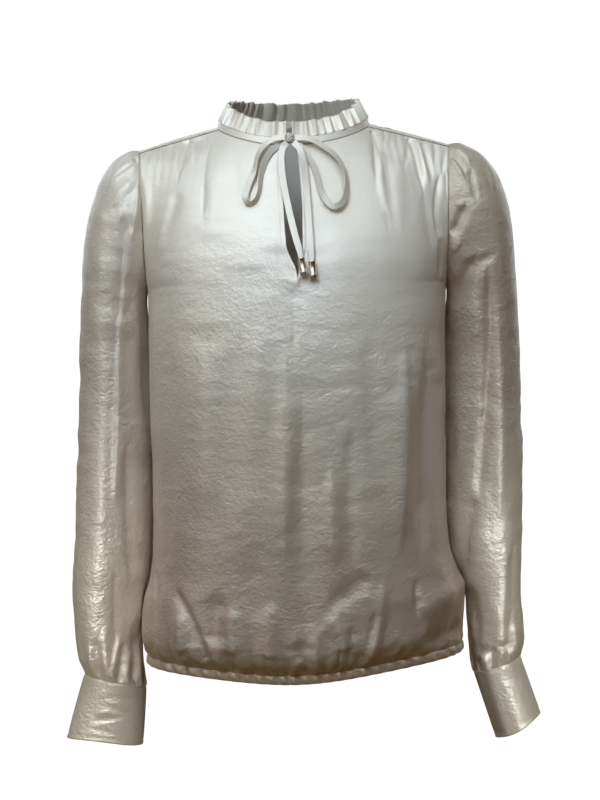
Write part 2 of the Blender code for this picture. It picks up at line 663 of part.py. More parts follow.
class Sheet:
    """Outer points of a piece, in rows that may double their columns, and how its walls go in."""

    def __init__(self):
        self.points = []
        self.inward = []
        self.faces = []

    def add_row(self, points, inward=None):
        start = len(self.points)
        self.points.extend(points)
        blank = np.full((len(points), 3), np.nan)
        self.inward.extend(blank if inward is None else inward)
        return list(range(start, start + len(points)))

    def join(self, lower, upper, closed=False):
        """Faces between two rows. Seen from outside, columns run to the right and rows up."""
        if closed:
            lower = lower + lower[:1]
            upper = upper + upper[:1]
        low, high = len(lower) - 1, len(upper) - 1
        if low == high:
            for i in range(low):
                self.faces.append((lower[i], lower[i + 1], upper[i + 1], upper[i]))
        elif high == 2 * low:
            for i in range(low):
                a, b = lower[i], lower[i + 1]
                left, middle, right = upper[2 * i : 2 * i + 3]
                self.faces += [(a, middle, left), (a, b, middle), (b, right, middle)]
        else:
            for i in range(high):
                a, b = upper[i], upper[i + 1]
                left, middle, right = lower[2 * i : 2 * i + 3]
                self.faces += [(left, middle, a), (middle, b, a), (middle, right, b)]

    def wall(self, thickness):
        """The closed wall: outer and inner points, faces and a rim along each open edge."""
        points = np.array(self.points)
        inward = np.array(self.inward)
        keys = {}
        rounded = [tuple(p) for p in np.round(points, MERGE_DECIMALS)]
        where = [keys.setdefault(p, len(keys)) for p in rounded]
        first = {index: i for i, index in reversed(list(enumerate(where)))}
        keep = [first[i] for i in range(len(keys))]
        points, inward = points[keep], inward[keep]
        faces = [tuple(where[i] for i in face) for face in self.faces]

        normals = np.zeros_like(points)
        for face in faces:
            corner = points[list(face)]
            turn = np.cross(corner[1] - corner[0], corner[2] - corner[0])
            if len(face) == 4:
                turn = turn + np.cross(corner[2] - corner[0], corner[3] - corner[0])
            normals[list(face)] += turn
        normals = unit(normals)
        given = ~np.isnan(inward[:, 0])
        inward = np.where(given[:, None], np.nan_to_num(inward), -normals)
        inner = points + inward * thickness

        count = len(points)
        used = dict.fromkeys(
            (a, b) for face in faces for a, b in zip(face, face[1:] + face[:1])
        )
        rims = [(b, a, a + count, b + count) for a, b in used if (b, a) not in used]
        back = [tuple(i + count for i in reversed(face)) for face in faces]
        return np.concatenate([points, inner]), faces + back + rims


def plain_material(name, colour, metallic, roughness):
    material = bpy.data.materials.new(name)
    material.use_nodes = True
    shader = material.node_tree.nodes["Principled BSDF"]
    shader.inputs["Base Color"].default_value = colour
    shader.inputs["Metallic"].default_value = metallic
    shader.inputs["Roughness"].default_value = roughness
    return material


def make_object(name, points, faces, colour, metallic=0.0, roughness=SATIN_ROUGHNESS):
    mesh = bpy.data.meshes.new(name)
    mesh.from_pydata([tuple(p) for p in np.asarray(points) * MM], [], faces)
    mesh.validate()
    mesh.shade_smooth()
    mesh.set_sharp_from_angle(angle=math.radians(SHARP_ANGLE))
    mesh.materials.append(plain_material(name + "_material", colour, metallic, roughness))
    item = bpy.data.objects.new(name, mesh)
    bpy.context.scene.collection.objects.link(item)
    item.parent = bpy.data.objects["blouse"]


def body_normals(u, level, face, side):
    """Outward normals of the plain body, from small steps along it."""
    if level < 0:
        low, high = level - HEIGHT_STEP, level + HEIGHT_STEP
    else:
        low, high = max(level - STEP, 0.0), min(level + STEP, 1.0)
    right, left = np.minimum(u + STEP, 1), np.maximum(u - STEP, -1)
    across = body_point(right, level, face, side) - body_point(left, level, face, side)
    upward = body_point(u, high, face, side) - body_point(u, low, face, side)
    return unit(np.cross(across, upward)) * -face


def body_row(u, level, face, side):
    """One row of one half of the front or back, with its folds, and its wall direction at seams."""
    here = body_point(u, level, face, side)
    normal = body_normals(u, level, face, side)
    inward = np.full(here.shape, np.nan)
    at_side = np.abs(u) > 1 - TINY
    gap = SEAM_GAP / 2
    edge = np.zeros_like(here)
    if level <= 0:
        edge[at_side, 1] = face * gap
        inward[at_side] = (-side, 0.0, 0.0)
    if level == HEM_Z:
        normal = unit(normal * np.array([1.0, 1.0, 0.0]))
        inward = np.where(at_side[:, None], inward, -normal)
        edge[:, 2] += gap
    if level >= 0:
        edge[at_side, 0] = -side * gap
    if level > 0:
        guard = normal[at_side]
        guard[:, 0] = side * np.maximum(guard[:, 0] * side, LEAST_INWARD)
        inward[at_side] = -unit(guard)
    if level == 1:
        into = seam_inward(face, side)
        at_seam = np.abs(u) >= NECK_SHARE - TINY
        inward[at_seam] = into
        normal[at_seam] = -into
        edge[at_seam] += seam_aside(face, side) * gap
        edge[:, 2] -= np.where(np.abs(u) <= NECK_SHARE + TINY, gap, 0.0)
    out = fold_height(here, u, face, side)
    return here + normal * out[:, None] + edge, inward


def row_plan(low, coarse, high):
    """Each row with how many times the coarse columns it has."""
    return [(row, 2) for row in low] + [(row, 1) for row in coarse] + [(row, 2) for row in high]


def body_piece(name, face, columns, plan):
    """The front or back, in two halves that share the points of the middle line."""
    sheet = Sheet()
    for side in (LEFT, RIGHT):
        rows = []
        for level, times in plan:
            u = np.linspace(min(side, 0), max(side, 0), columns * times + 1)
            points, inward = body_row(u, level, face, side)
            if face == BACK:
                points, inward = points[::-1], inward[::-1]
            rows.append(sheet.add_row(points, inward))
        for lower, upper in zip(rows, rows[1:]):
            sheet.join(lower, upper)
    points, faces = sheet.wall(WALL)
    make_object(name, points, faces, SATIN)


def build_body():
    front = row_plan(BODY_ROWS_LOW, FRONT_ROWS, FRONT_ROWS_HIGH)
    back = row_plan(BODY_ROWS_LOW, BACK_ROWS, BACK_ROWS_HIGH)
    body_piece("front", FRONT, FRONT_COARSE, front)
    body_piece("back", BACK, BACK_COARSE, back)


def build_strips():
    for side, name in ((LEFT, "shoulder_strip_left"), (RIGHT, "shoulder_strip_right")):
        share = np.linspace(0, 1, STRIP_COLUMNS + 1)
        edges = {}
        for face in (FRONT, BACK):
            seam = shoulder_seam(share, face, side)
            edges[face] = seam - seam_aside(face, side) * SEAM_GAP / 2
        neck = neckline(side * (NECK_EDGE[FRONT] + NECK_EDGE[BACK]) / 2)
        arm = armhole(ARM_EDGE[FRONT] / 2, FRONT, side)
        middle = mix(neck, arm, share[:, None])
        middle[:, 2] += STRIP_CROWN * np.sin(math.pi * share)
        inward = {face: seam_inward(face, side) for face in (FRONT, BACK)}
        halfway = unit(inward[FRONT] + inward[BACK])
        sheet = Sheet()
        rows = []
        for points, into in (
            (edges[FRONT], inward[FRONT]),
            (middle, halfway),
            (edges[BACK], inward[BACK]),
        ):
            points = points.copy()
            points[0, 2] -= SEAM_GAP / 2
            points[-1, 0] -= side * SEAM_GAP / 2
            points = points[::side]
            rows.append(sheet.add_row(points, np.tile(into, (len(points), 1))))
        sheet.join(rows[0], rows[1])
        sheet.join(rows[1], rows[2])
        points, faces = sheet.wall(WALL)
        make_object(name, points, faces, SATIN)


SLEEVES = {LEFT: SLEEVE_LEFT, RIGHT: SLEEVE_RIGHT}
SLEEVE_CURVES = {
    side: {name: Curve(rows, "ring", name) for name in SleeveRow._fields[1:]}
    for side, rows in SLEEVES.items()
}


def sleeve_frame(ring, side):
    """The middle of a ring of the sleeve, and the half axis from there to its outer side."""
    read = SLEEVE_CURVES[side]
    out = points_of(side * read["out_x"](ring), read["out_y"](ring), read["out_z"](ring))
    into = points_of(side * read["in_x"](ring), read["in_y"](ring), read["in_z"](ring))
    return (out + into) / 2, (out - into) / 2


def sleeve_point(turn, ring, side):
    """A point of the plain sleeve: turn 0 is outside, a quarter is front, and ring 0 the armhole."""
    turn = np.asarray(turn, float)
    ring = np.broadcast_to(np.asarray(ring, float), turn.shape)
    angle = 2 * math.pi * turn
    middle, arm = sleeve_frame(ring, side)
    read = SLEEVE_CURVES[side]
    depth = np.where(np.sin(angle) > 0, read["front"](ring), read["back"](ring))
    point = middle + arm * np.cos(angle)[..., None]
    point[..., 1] -= depth * np.sin(angle)
    armhole_row = SLEEVES[side][0]
    plain = mix(armhole_row.in_x, armhole_row.out_x, (1 + np.cos(angle)) / 2)
    height = ARM_CENTRE_Z + ARM_HALF_HEIGHT * np.cos(angle)
    lean = side * (ARM_X(height) - plain)
    point[..., 0] += lean * (1 - ease(0.0, ARM_BLEND_RINGS, ring))
    return point


def turns_between(turn, middle):
    """The signed distance round the arm, in turns."""
    return (turn - middle + 0.5) % 1.0 - 0.5


def sleeve_folds(turn, ring, side):
    """How far pleats, creases and gathers stand out of the plain sleeve."""
    low, high = SLEEVE_HEAD_TURNS
    span = (turn - low) / (high - low)
    behind = ((1 - turn) - low) / (high - low)
    head = np.clip(1 - ring / SLEEVE_HEAD_RINGS, 0, 1) ** SLEEVE_HEAD_FADE
    head = head * mix(SLEEVE_HEAD_AT_SEAM, 1.0, ease(0, SLEEVE_HEAD_RISE, ring))
    out = np.zeros_like(turn)
    for place in (span, behind):
        inside = ease(*SLEEVE_HEAD_ENDS, place) * ease(*SLEEVE_HEAD_ENDS, 1 - place)
        out = out + inside * np.cos(2 * math.pi * SLEEVE_HEAD_PLEATS * place)
    out = out * SLEEVE_HEAD_DEPTH * head
    lowest = (ring - SLEEVE_CUFF_FIRST_RING) / (LAST_RING - SLEEVE_CUFF_FIRST_RING)
    cuff = np.clip(lowest, 0, 1) ** SLEEVE_CUFF_FADE
    cuff = cuff * mix(1.0, SLEEVE_CUFF_AT_SEAM, ease(SLEEVE_CUFF_CALM_RING, LAST_RING, ring))
    drift = SLEEVE_CUFF_DRIFT * np.sin(4 * math.pi * turn + side)
    wave = np.cos(2 * math.pi * SLEEVE_CUFF_FOLDS * turn + drift)
    out = out + SLEEVE_CUFF_DEPTH * cuff * wave
    for row in SLEEVE_CREASES:
        if row.side != side:
            continue
        along = (ring - row.ring_top) / (row.ring_bottom - row.ring_top)
        middle = mix(row.turn_top, row.turn_bottom, np.clip(along, 0, 1))
        away = turns_between(turn, middle) / row.width
        length = ease(*CREASE_ENDS, along) * ease(*CREASE_ENDS, 1 - along)
        out = out + row.depth * length * np.exp(-away * away)
    return out


def sleeve_row(turn, ring, side):
    """One ring of the sleeve, with its folds, and its wall direction at the two seams."""
    here = sleeve_point(turn, ring, side)
    around = sleeve_point(turn + STEP, ring, side) - sleeve_point(turn - STEP, ring, side)
    low, high = min(ring + STEP, LAST_RING), max(ring - STEP, 0)
    down = sleeve_point(turn, low, side) - sleeve_point(turn, high, side)
    normal = side * unit(np.cross(around, down))
    inward = np.full(here.shape, np.nan)
    gap = SEAM_GAP / 2
    if ring == 0:
        angle = 2 * math.pi * turn
        depth = np.where(np.sin(angle) > 0, ARM_FRONT, ARM_BACK)
        normal = unit(points_of(0.0, -np.sin(angle) / depth, np.cos(angle) / ARM_HALF_HEIGHT))
        inward = -normal
        here[:, 0] += side * gap
    if ring == LAST_RING:
        axis = cuff_axis(side)
        normal = unit(normal - (normal @ axis)[:, None] * axis)
        inward = -normal
        here = here - axis * gap
    return here + normal * sleeve_folds(turn, ring, side)[:, None], inward


def cuff_axis(side):
    """The direction in which the cuff runs on from the sleeve."""
    _, arm = sleeve_frame(LAST_RING, side)
    return unit(np.array([side * arm[2], 0.0, -abs(arm[0])]))


def ring_turns(count, side):
    """Columns round a sleeve, closer together over the shoulder, running right as seen outside."""
    even = np.arange(count) / count
    return -side * (even - SLEEVE_CROWDING * np.sin(2 * math.pi * even))


def build_sleeves():
    for side, name in ((LEFT, "sleeve_left"), (RIGHT, "sleeve_right")):
        sheet = Sheet()
        rows = []
        for ring, times in row_plan(SLEEVE_ROWS_LOW, SLEEVE_ROWS, SLEEVE_ROWS_HIGH):
            turn = ring_turns(SLEEVE_COARSE * times, side)
            points, inward = sleeve_row(turn, ring, side)
            rows.append(sheet.add_row(points, inward))
        for lower, upper in zip(rows, rows[1:]):
            sheet.join(lower, upper, closed=True)
        points, faces = sheet.wall(WALL)
        make_object(name, points, faces, SATIN)


def cuff_point(turn, share, row):
    """A point of the cuff: share is 0 at the sleeve and 1 at the lower edge."""
    middle, arm = sleeve_frame(LAST_RING, row.side)
    last = SLEEVES[row.side][-1]
    out = np.array([row.side * row.out_x, row.out_y, row.out_z], float)
    into = np.array([row.side * row.in_x, row.in_y, row.in_z], float)
    angle = 2 * math.pi * turn
    start = np.where(np.sin(angle) > 0, last.front, last.back)
    depth = mix(start, row.depth, share**CUFF_FLARE)
    half = mix(arm, (out - into) / 2, share**CUFF_FLARE)
    point = mix(middle, (out + into) / 2, share) + half * np.cos(angle)[:, None]
    point[:, 1] -= depth * np.sin(angle)
    ripple = CUFF_RIPPLE * share * np.cos(CUFF_RIPPLES * angle + row.side)
    return point + cuff_axis(row.side) * ripple[:, None]


def build_cuffs():
    for row, name in zip(CUFFS, ("cuff_left", "cuff_right")):
        sheet = Sheet()
        turn = -row.side * np.arange(CUFF_COLUMNS) / CUFF_COLUMNS
        angle = 2 * math.pi * turn
        _, arm = sleeve_frame(LAST_RING, row.side)
        outward = unit(arm) * np.cos(angle)[:, None] - points_of(0, np.sin(angle), 0)
        rows = []
        for share in CUFF_ROWS:
            points = cuff_point(turn, share, row)
            if share == 0:
                points = points + cuff_axis(row.side) * SEAM_GAP / 2
            rows.append(sheet.add_row(points, -outward if share in (0, 1) else None))
        for lower, upper in zip(rows, rows[1:]):
            sheet.join(lower, upper, closed=True)
        points, faces = sheet.wall(CUFF_WALL)
        make_object(name, points, faces, SATIN)


def neck_outward(angle):
    """The level direction out of the neck."""
    return unit(points_of(np.sin(angle) / NECK_HALF_WIDTH, np.cos(angle) / NECK_HALF_DEPTH, 0.0))


def collar_point(angle, height):
    """A point of the plain collar, height above the neckline: the band, then the frill."""
    on_band = np.clip(height / BAND_HEIGHT, 0, 1)
    on_frill = np.clip((height - BAND_HEIGHT) / FRILL_HEIGHT, 0, 1)
    lean = BAND_LEAN * on_band + FRILL_LEAN * on_frill
    point = neckline(angle) - neck_outward(angle) * lean
    point[:, 2] += height
    return point


def build_neck_band():
    sheet = Sheet()
    angle = np.linspace(math.pi, -math.pi, BAND_COLUMNS + 1)
    inward = -neck_outward(angle)
    rows = []
    for height in (SEAM_GAP / 2, BAND_HEIGHT - SEAM_GAP / 2):
        rows.append(sheet.add_row(collar_point(angle, height), inward))
    sheet.join(rows[0], rows[1])
    points, faces = sheet.wall(BAND_WALL)
    make_object("neck_band", points, faces, SATIN)


def build_neck_frill():
    sheet = Sheet()
    count = FRILL_WAVES * FRILL_PER_WAVE
    share = np.linspace(0, 1, count + 1)
    around = 2 * math.pi * share
    angle = math.pi - around
    outward = neck_outward(angle)
    wave = np.cos(FRILL_WAVES * around + waves(FRILL_DRIFT, around))
    uneven = 1 + waves(FRILL_UNEVEN, around)
    rows = []
    for height, depth in (
        (BAND_HEIGHT + SEAM_GAP / 2, FRILL_WAVE_FOOT),
        (BAND_HEIGHT + FRILL_HEIGHT, FRILL_WAVE_TOP),
    ):
        points = collar_point(angle, height) + outward * (depth * wave * uneven)[:, None]
        rows.append(sheet.add_row(points, -outward))
    sheet.join(rows[0], rows[1])
    points, faces = sheet.wall(FRILL_WALL)
    make_object("neck_frill", points, faces, SATIN)


def hem_line(share):
    """A point of the hem line and its outward direction, share 0 at the left side seam."""
    front = share < 0.5
    u = np.where(front, share * 4 - 1, 3 - share * 4)
    points = np.where(
        front[:, None],
        body_low(u, np.full(u.shape, HEM_Z), FRONT),
        body_low(u, np.full(u.shape, HEM_Z), BACK),
    )
    ahead = np.roll(points, -1, axis=0) - np.roll(points, 1, axis=0)
    outward = unit(points_of(ahead[:, 1], -ahead[:, 0], 0.0))
    return points, outward


def build_hem_casing():
    count = CASING_RUCHES * CASING_PER_RUCHE
    share = np.arange(count) / count
    line, outward = hem_line(share)
    sides = []
    for side in range(CASING_SIDES):
        turn = 2 * math.pi * side / CASING_SIDES
        lift = max(-1.0, min(1.0, CASING_FLATNESS * math.sin(turn)))
        phase = 2 * math.pi * CASING_RUCHES * share + CASING_RUCHE_SLANT * math.sin(turn)
        half = CASING_THICKNESS / 2 + CASING_RUCHE_DEPTH * np.cos(phase)
        point = line + outward * (half * math.cos(turn) - CASING_SET_IN)[:, None]
        point[:, 2] += (lift - 1) * CASING_HEIGHT / 2 - SEAM_GAP / 2
        sides.append(point)
    points = np.concatenate(sides)
    faces = []
    for side in range(CASING_SIDES):
        first = side * count
        second = (side + 1) % CASING_SIDES * count
        for i in range(count):
            j = (i + 1) % count
            faces.append((first + i, first + j, second + j, second + i))
    make_object("hem_casing", points, faces, SATIN)


def flowing(points, count):
    """A smooth line through the points, as count + 1 points evenly spaced along it."""
    points = np.asarray(points, float)
    slope = np.gradient(points, axis=0)
    fine = []
    for i in range(len(points) - 1):
        share = np.linspace(0, 1, ROUTE_SAMPLES, endpoint=False)[:, None]
        fine.append(hermite(points[i], points[i + 1], slope[i], slope[i + 1], share))
    fine = np.concatenate(fine + [points[-1:]])
    steps = np.linalg.norm(np.diff(fine[:, :3], axis=0), axis=1)
    length = np.concatenate([[0.0], np.cumsum(steps)])
    even = np.linspace(0, length[-1], count + 1)
    return np.stack([np.interp(even, length, column) for column in fine.T], axis=1)


def tie_frames(line, turn):
    """The direction of the tie's width and of its flat face at each of its points."""
    along = unit(np.gradient(line, axis=0))
    toward = np.array([0.0, -1.0, 0.0])
    face = unit(toward - (along @ toward)[:, None] * along)
    side = np.cross(along, face)
    angle = np.radians(turn)[:, None]
    face = face * np.cos(angle) + side * np.sin(angle)
    return np.cross(along, face), face


def tube_faces(rings, sides):
    """Faces of a closed tube whose points run round its rings, with a flat end at each end."""
    faces = [tuple(range(sides))[::-1], tuple(range((rings - 1) * sides, rings * sides))]
    for i in range(rings - 1):
        for k in range(sides):
            a, b = i * sides + k, i * sides + (k + 1) % sides
            faces.append((a, b, b + sides, a + sides))
    return faces


def build_tie(row):
    """A flat strip with soft edges along its route, gathered in at a metal tip."""
    route = flowing(row.route, row.segments)
    line, turn = route[:, :3], route[:, 3]
    across, face = tie_frames(line, turn)
    share = np.linspace(0, 1, len(line))
    width = np.full(len(line), TIE_WIDTH)
    if row.name.startswith("tail"):
        width = mix(TIE_WIDTH, TIE_END_WIDTH, ease(1 - TIE_GATHER_RUN, 1.0, share))
    sides = len(TIE_SECTION)
    points = []
    for i in range(len(line)):
        for over, up in TIE_SECTION:
            points.append(line[i] + across[i] * over * width[i] + face[i] * up * TIE_THICKNESS)
    make_object(row.name, points, tube_faces(len(line), sides), SATIN)


def build_knot():
    """The knot, a soft block that runs back to the ends of the neck band."""
    middle, half = np.array(KNOT_MIDDLE), np.array(KNOT_HALF)
    columns = KNOT_COLUMNS
    points = [middle + half * np.array([0, 0, 1])]
    for i in range(1, KNOT_RINGS):
        lift = math.pi * i / KNOT_RINGS
        level = math.copysign(abs(math.cos(lift)) ** KNOT_FLATNESS, math.cos(lift))
        across = math.sin(lift) ** KNOT_FULLNESS
        for k in range(columns):
            turn = 2 * math.pi * k / columns
            deep = KNOT_BACK / KNOT_HALF[1] if math.sin(turn) > 0 else 1.0
            out = np.array([math.cos(turn), math.sin(turn) * deep, 0.0]) * across
            points.append(middle + half * (out + np.array([0.0, 0.0, level])))
    points.append(middle - half * np.array([0, 0, 1]))
    last = len(points) - 1
    faces = []
    for k in range(columns):
        after = (k + 1) % columns
        faces.append((0, 1 + k, 1 + after))
        for i in range(KNOT_RINGS - 2):
            a = 1 + i * columns
            faces.append((a + k, a + columns + k, a + columns + after, a + after))
        a = 1 + (KNOT_RINGS - 2) * columns
        faces.append((a + k, last, a + after))
    make_object("bow_knot", points, faces, SATIN)


def build_tip(name, route):
    """A metal tip, from just past the end of its tail and on in the same direction."""
    line = flowing(route, TIP_ROUTE_STEPS)[:, :3]
    along = unit(line[-1] - line[-3])
    side = unit(np.cross(along, np.array([0.0, 1.0, 0.0])))
    front = np.cross(along, side)
    start = line[-1] + along * SEAM_GAP
    points = []
    for row in TIP_PROFILE:
        for k in range(TIP_SIDES):
            turn = 2 * math.pi * k / TIP_SIDES
            out = side * math.cos(turn) + front * math.sin(turn)
            points.append(start + along * row.along + out * row.radius)
    make_object(
        name,
        points,
        tube_faces(len(TIP_PROFILE), TIP_SIDES),
        ROSE_STEEL,
        metallic=1.0,
        roughness=STEEL_ROUGHNESS,
    )


def build_bow():
    for row in TIES:
        build_tie(row)
    build_knot()
    build_tip("tip_left", TAIL_LEFT)
    build_tip("tip_right", TAIL_RIGHT)


def clear_scene():
    for item in list(bpy.data.objects):
        bpy.data.objects.remove(item)
    carrier = bpy.data.objects.new("blouse", None)
    bpy.context.scene.collection.objects.link(carrier)


clear_scene()
build_body()
build_strips()
build_sleeves()
build_cuffs()
build_neck_band()
build_neck_frill()
build_hem_casing()
build_bow()
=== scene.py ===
"""Blouse of hammered satin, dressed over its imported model: thin sheets of cloth on the same surfaces
as the solids, with their folds, a tied bow with metal tips, and a pale studio round it.

Sizes in the tables are millimetres, and meshes are made in metres. X runs to the viewer's right,
-Y to the viewer and Z up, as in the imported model.
"""

import math
from collections import namedtuple
from itertools import product

import bmesh
import bpy
import numpy as np
from mathutils import Matrix, Vector


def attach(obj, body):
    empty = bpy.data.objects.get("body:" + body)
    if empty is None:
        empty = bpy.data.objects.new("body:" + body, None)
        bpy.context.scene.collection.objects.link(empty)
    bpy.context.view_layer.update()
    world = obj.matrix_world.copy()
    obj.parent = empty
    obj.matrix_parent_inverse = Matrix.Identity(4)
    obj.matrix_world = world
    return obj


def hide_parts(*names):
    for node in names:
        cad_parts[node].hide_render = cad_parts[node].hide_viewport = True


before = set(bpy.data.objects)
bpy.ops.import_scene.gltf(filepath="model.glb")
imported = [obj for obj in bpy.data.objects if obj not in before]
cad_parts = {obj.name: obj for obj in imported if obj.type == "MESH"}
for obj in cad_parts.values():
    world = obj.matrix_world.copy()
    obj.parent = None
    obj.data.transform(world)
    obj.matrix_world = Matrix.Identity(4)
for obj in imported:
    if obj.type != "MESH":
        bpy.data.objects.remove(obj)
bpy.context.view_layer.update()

MM = 0.001
TINY = 1e-9
STEP = 1e-3
HEIGHT_STEP = 0.5
SEAM_GAP = 0.1

FRONT = -1
BACK = 1
LEFT = -1
RIGHT = 1
WORDS = {LEFT: "left", RIGHT: "right"}


def table(kind, *rows):
    """The rows as named tuples of that kind."""
    return tuple(kind(*row) for row in rows)


# Body below the underarm: a rounded ring at each height, read from the middle of the side seams
SIDE_Y = 3.0
SQUARENESS = 2.35
UNDERARM_Z = -182.0
BodyRow = namedtuple("BodyRow", "height half_left half_right front_depth back_depth")
BODY = table(
    BodyRow,
    (-588, 176.5, 176.5, 113, 106),
    (-578, 181.5, 178.5, 124, 115),
    (-564, 184.5, 179.5, 130, 120),
    (-545, 183.5, 181.5, 132, 121),
    (-525, 180.5, 182.5, 131, 119),
    (-505, 174.0, 174.5, 129, 116),
    (-475, 169.5, 166.0, 126, 111),
    (-430, 168.0, 163.0, 123, 105),
    (-370, 167.5, 163.5, 121, 101),
    (-300, 168.0, 164.0, 121, 101),
    (-240, 168.0, 165.5, 122, 104),
    (UNDERARM_Z, 168.0, 168.0, 119, 106),
)

# Hem line: lower at the middle of the front and back, and a little lower on the left
HEM_Z = -588.0
HEM_TILT = 4.0
HEM_DIP_FRONT = 18.0
HEM_DIP_BACK = 8.0
HEM_SHIFT_TOP_Z = -430.0

# Armhole: an upright oval in a plane that leans out a little towards the shoulder
ARM_TOP_Z = -24.0
ARM_CENTRE_Z = (ARM_TOP_Z + UNDERARM_Z) / 2
ARM_HALF_HEIGHT = (ARM_TOP_Z - UNDERARM_Z) / 2
ARM_FRONT = 46.0
ARM_BACK = 50.0
ArmRow = namedtuple("ArmRow", "height x")
ARM_LEAN = table(
    ArmRow,
    (UNDERARM_Z, 168.0),
    (-140, 169.5),
    (-100, 170.0),
    (-60, 171.5),
    (ARM_TOP_Z, 174.0),
)

# Neckline: an oval in plan, high at the sides and back, low at the front
NECK_HALF_WIDTH = 86.0
NECK_HALF_DEPTH = 62.5
NECK_Y = -2.5
NECK_RISE = 17.0
NECK_SAG = 12.0

# Shoulder strip: between the forward seam and the back seam
STRIP_FRONT_NECK_Y = -16.0
STRIP_FRONT_ARM_Y = -11.0
STRIP_BACK_NECK_Y = 3.0
STRIP_CROWN = 1.2
STRIP_TUCK = 0.5
NECK_SHARE = 0.5

# Keyhole slit: half width and middle of the gap at each height
SlitRow = namedtuple("SlitRow", "height half middle")
SLIT = table(
    SlitRow,
    (UNDERARM_Z, 0.0, 1.0),
    (-175, 0.9, 1.2),
    (-166, 2.6, 1.0),
    (-157, 5.6, -0.4),
    (-142, 9.0, -1.6),
    (-92, 10.3, -2.7),
    (-60, 10.0, -4.0),
    (-42, 8.6, -4.5),
    (-29, 3.4, -4.5),
)
SLIT_SPREAD = 0.45

# Direction in which the cloth leaves the top edge, by its place from the middle (0) to the arm (1)
LeaveRow = namedtuple("LeaveRow", "share x y z")
LEAVE_FRONT = table(
    LeaveRow,
    (0.00, 0.00, -0.50, -0.87),
    (0.25, 0.25, -0.52, -0.80),
    (0.40, 0.42, -0.60, -0.68),
    (0.50, 0.38, -0.70, -0.60),
    (0.75, 0.12, -0.76, -0.64),
    (1.00, 0.02, -0.75, -0.66),
)
LEAVE_BACK = table(
    LeaveRow,
    (0.00, 0.00, 0.40, -0.91),
    (0.25, 0.32, 0.52, -0.79),
    (0.40, 0.52, 0.66, -0.52),
    (0.50, 0.40, 0.82, -0.40),
    (0.75, 0.15, 0.88, -0.45),
    (1.00, 0.02, 0.78, -0.62),
)
LEAVE_REACH = 0.8
UNDERARM_STEP = 5.0
ARM_PULL = 3.0
SEAM_LEAN_FRONT = (0.30, -0.50, 0.81)
SEAM_LEAN_BACK = (0.33, 0.35, 0.88)

# Gathers: how many, how deep, how far they run from the seam and how fast they fade. A wave is its
# height, its rate and its phase, and makes the gathers uneven.
Wave = namedtuple("Wave", "height rate phase")
GatherRow = namedtuple("GatherRow", "face side folds depth lift run")
SHOULDER_GATHERS = table(
    GatherRow,
    (FRONT, LEFT, 8, 0.25, 0.0, 90.0),
    (FRONT, RIGHT, 8, 0.25, 0.0, 90.0),
    (BACK, LEFT, 5, 0.4, 0.6, 60.0),
    (BACK, RIGHT, 4, 2.2, 3.0, 60.0),
)
SHOULDER_GATHER_FADE = 1.3
SHOULDER_GATHER_ENDS = 0.11
SHOULDER_GATHER_AT_SEAM = 0.4
SHOULDER_GATHER_RISE = 6.0
SHOULDER_GATHER_AT_ARM = 0.45
SHOULDER_SEAM_NECK_Z = -3.0
SHOULDER_SEAM_ARM_Z = -26.0
HEM_FOLDS = 15
HEM_FOLD_DEPTH = 1.4
HEM_FOLD_RUN = 95.0
HEM_FOLD_FADE = 1.5
HEM_FOLD_AT_SEAM = 0.5
HEM_FOLD_RISE = 20.0
HEM_FOLD_DRIFT = (Wave(0.5, 7.3, 0.6), Wave(0.3, 17.0, 0.0))
HEM_FOLD_UNEVEN = (Wave(0.19, 9.0, 1.0),)

# Main folds of the body, as troughs (depth below 0) and ridges: u runs from the left side seam (-1)
# to the right one (1), and width is in millimetres, with HALF_GIRTH to one step of u
HALF_GIRTH = 215.0
FOLD_END_TOP = (-0.08, 0.15)
FOLD_END_BOTTOM = (-0.08, 0.2)
FoldRow = namedtuple("FoldRow", "face u_top z_top u_bottom z_bottom width depth")
BODY_FOLDS = table(
    FoldRow,
    (BACK, -0.60, -60, -0.50, -330, 18, 3.5),
    (BACK, 0.62, -60, 0.50, -360, 18, 3.5),
    (BACK, -0.25, -470, -0.20, -600, 16, -4.0),
    (BACK, 0.10, -440, 0.12, -600, 16, -4.0),
    (BACK, 0.48, -460, 0.45, -600, 15, -4.5),
    (BACK, -0.66, -450, -0.60, -600, 15, -4.5),
)
SIDE_CALM = 0.12

# Sleeves: each ring runs from a point on the outside of the arm to one on the inside
SleeveRow = namedtuple("SleeveRow", "ring out_x out_y out_z in_x in_y in_z front back")
SLEEVE_LEFT = table(
    SleeveRow,
    (0, 174, 3, -24, 168, 3, -182, 46, 50),
    (1, 182, 3, -23, 169, 4, -185, 50, 53),
    (2, 201, 4, -33, 170, 7, -191, 54, 55),
    (3, 218, 6, -55, 170.3, 12, -199, 56, 56),
    (4, 231, 8, -85, 169.9, 18, -210, 57, 56),
    (5, 238.5, 9, -119, 169.3, 23, -224, 57, 55),
    (6, 243, 10, -165, 168.3, 27, -245, 56, 53),
    (7, 246.5, 10, -225, 168, 29, -280, 55, 51),
    (8, 249.5, 10, -302, 167.5, 29, -335, 54, 50),
    (9, 254, 10, -390, 168, 29, -408, 53, 49),
    (10, 258, 11, -450, 170, 29, -458, 53, 49),
    (11, 261.5, 12, -495, 175, 30, -497, 53, 49),
    (12, 263, 13, -532, 184.5, 30, -535, 52, 48),
    (13, 261, 14, -567, 187.5, 28, -570, 49, 46),
    (14, 257.5, 15, -594, 186.5, 24, -603, 44, 42),
    (15, 251, 16, -614, 182, 20, -630, 35, 34),
)
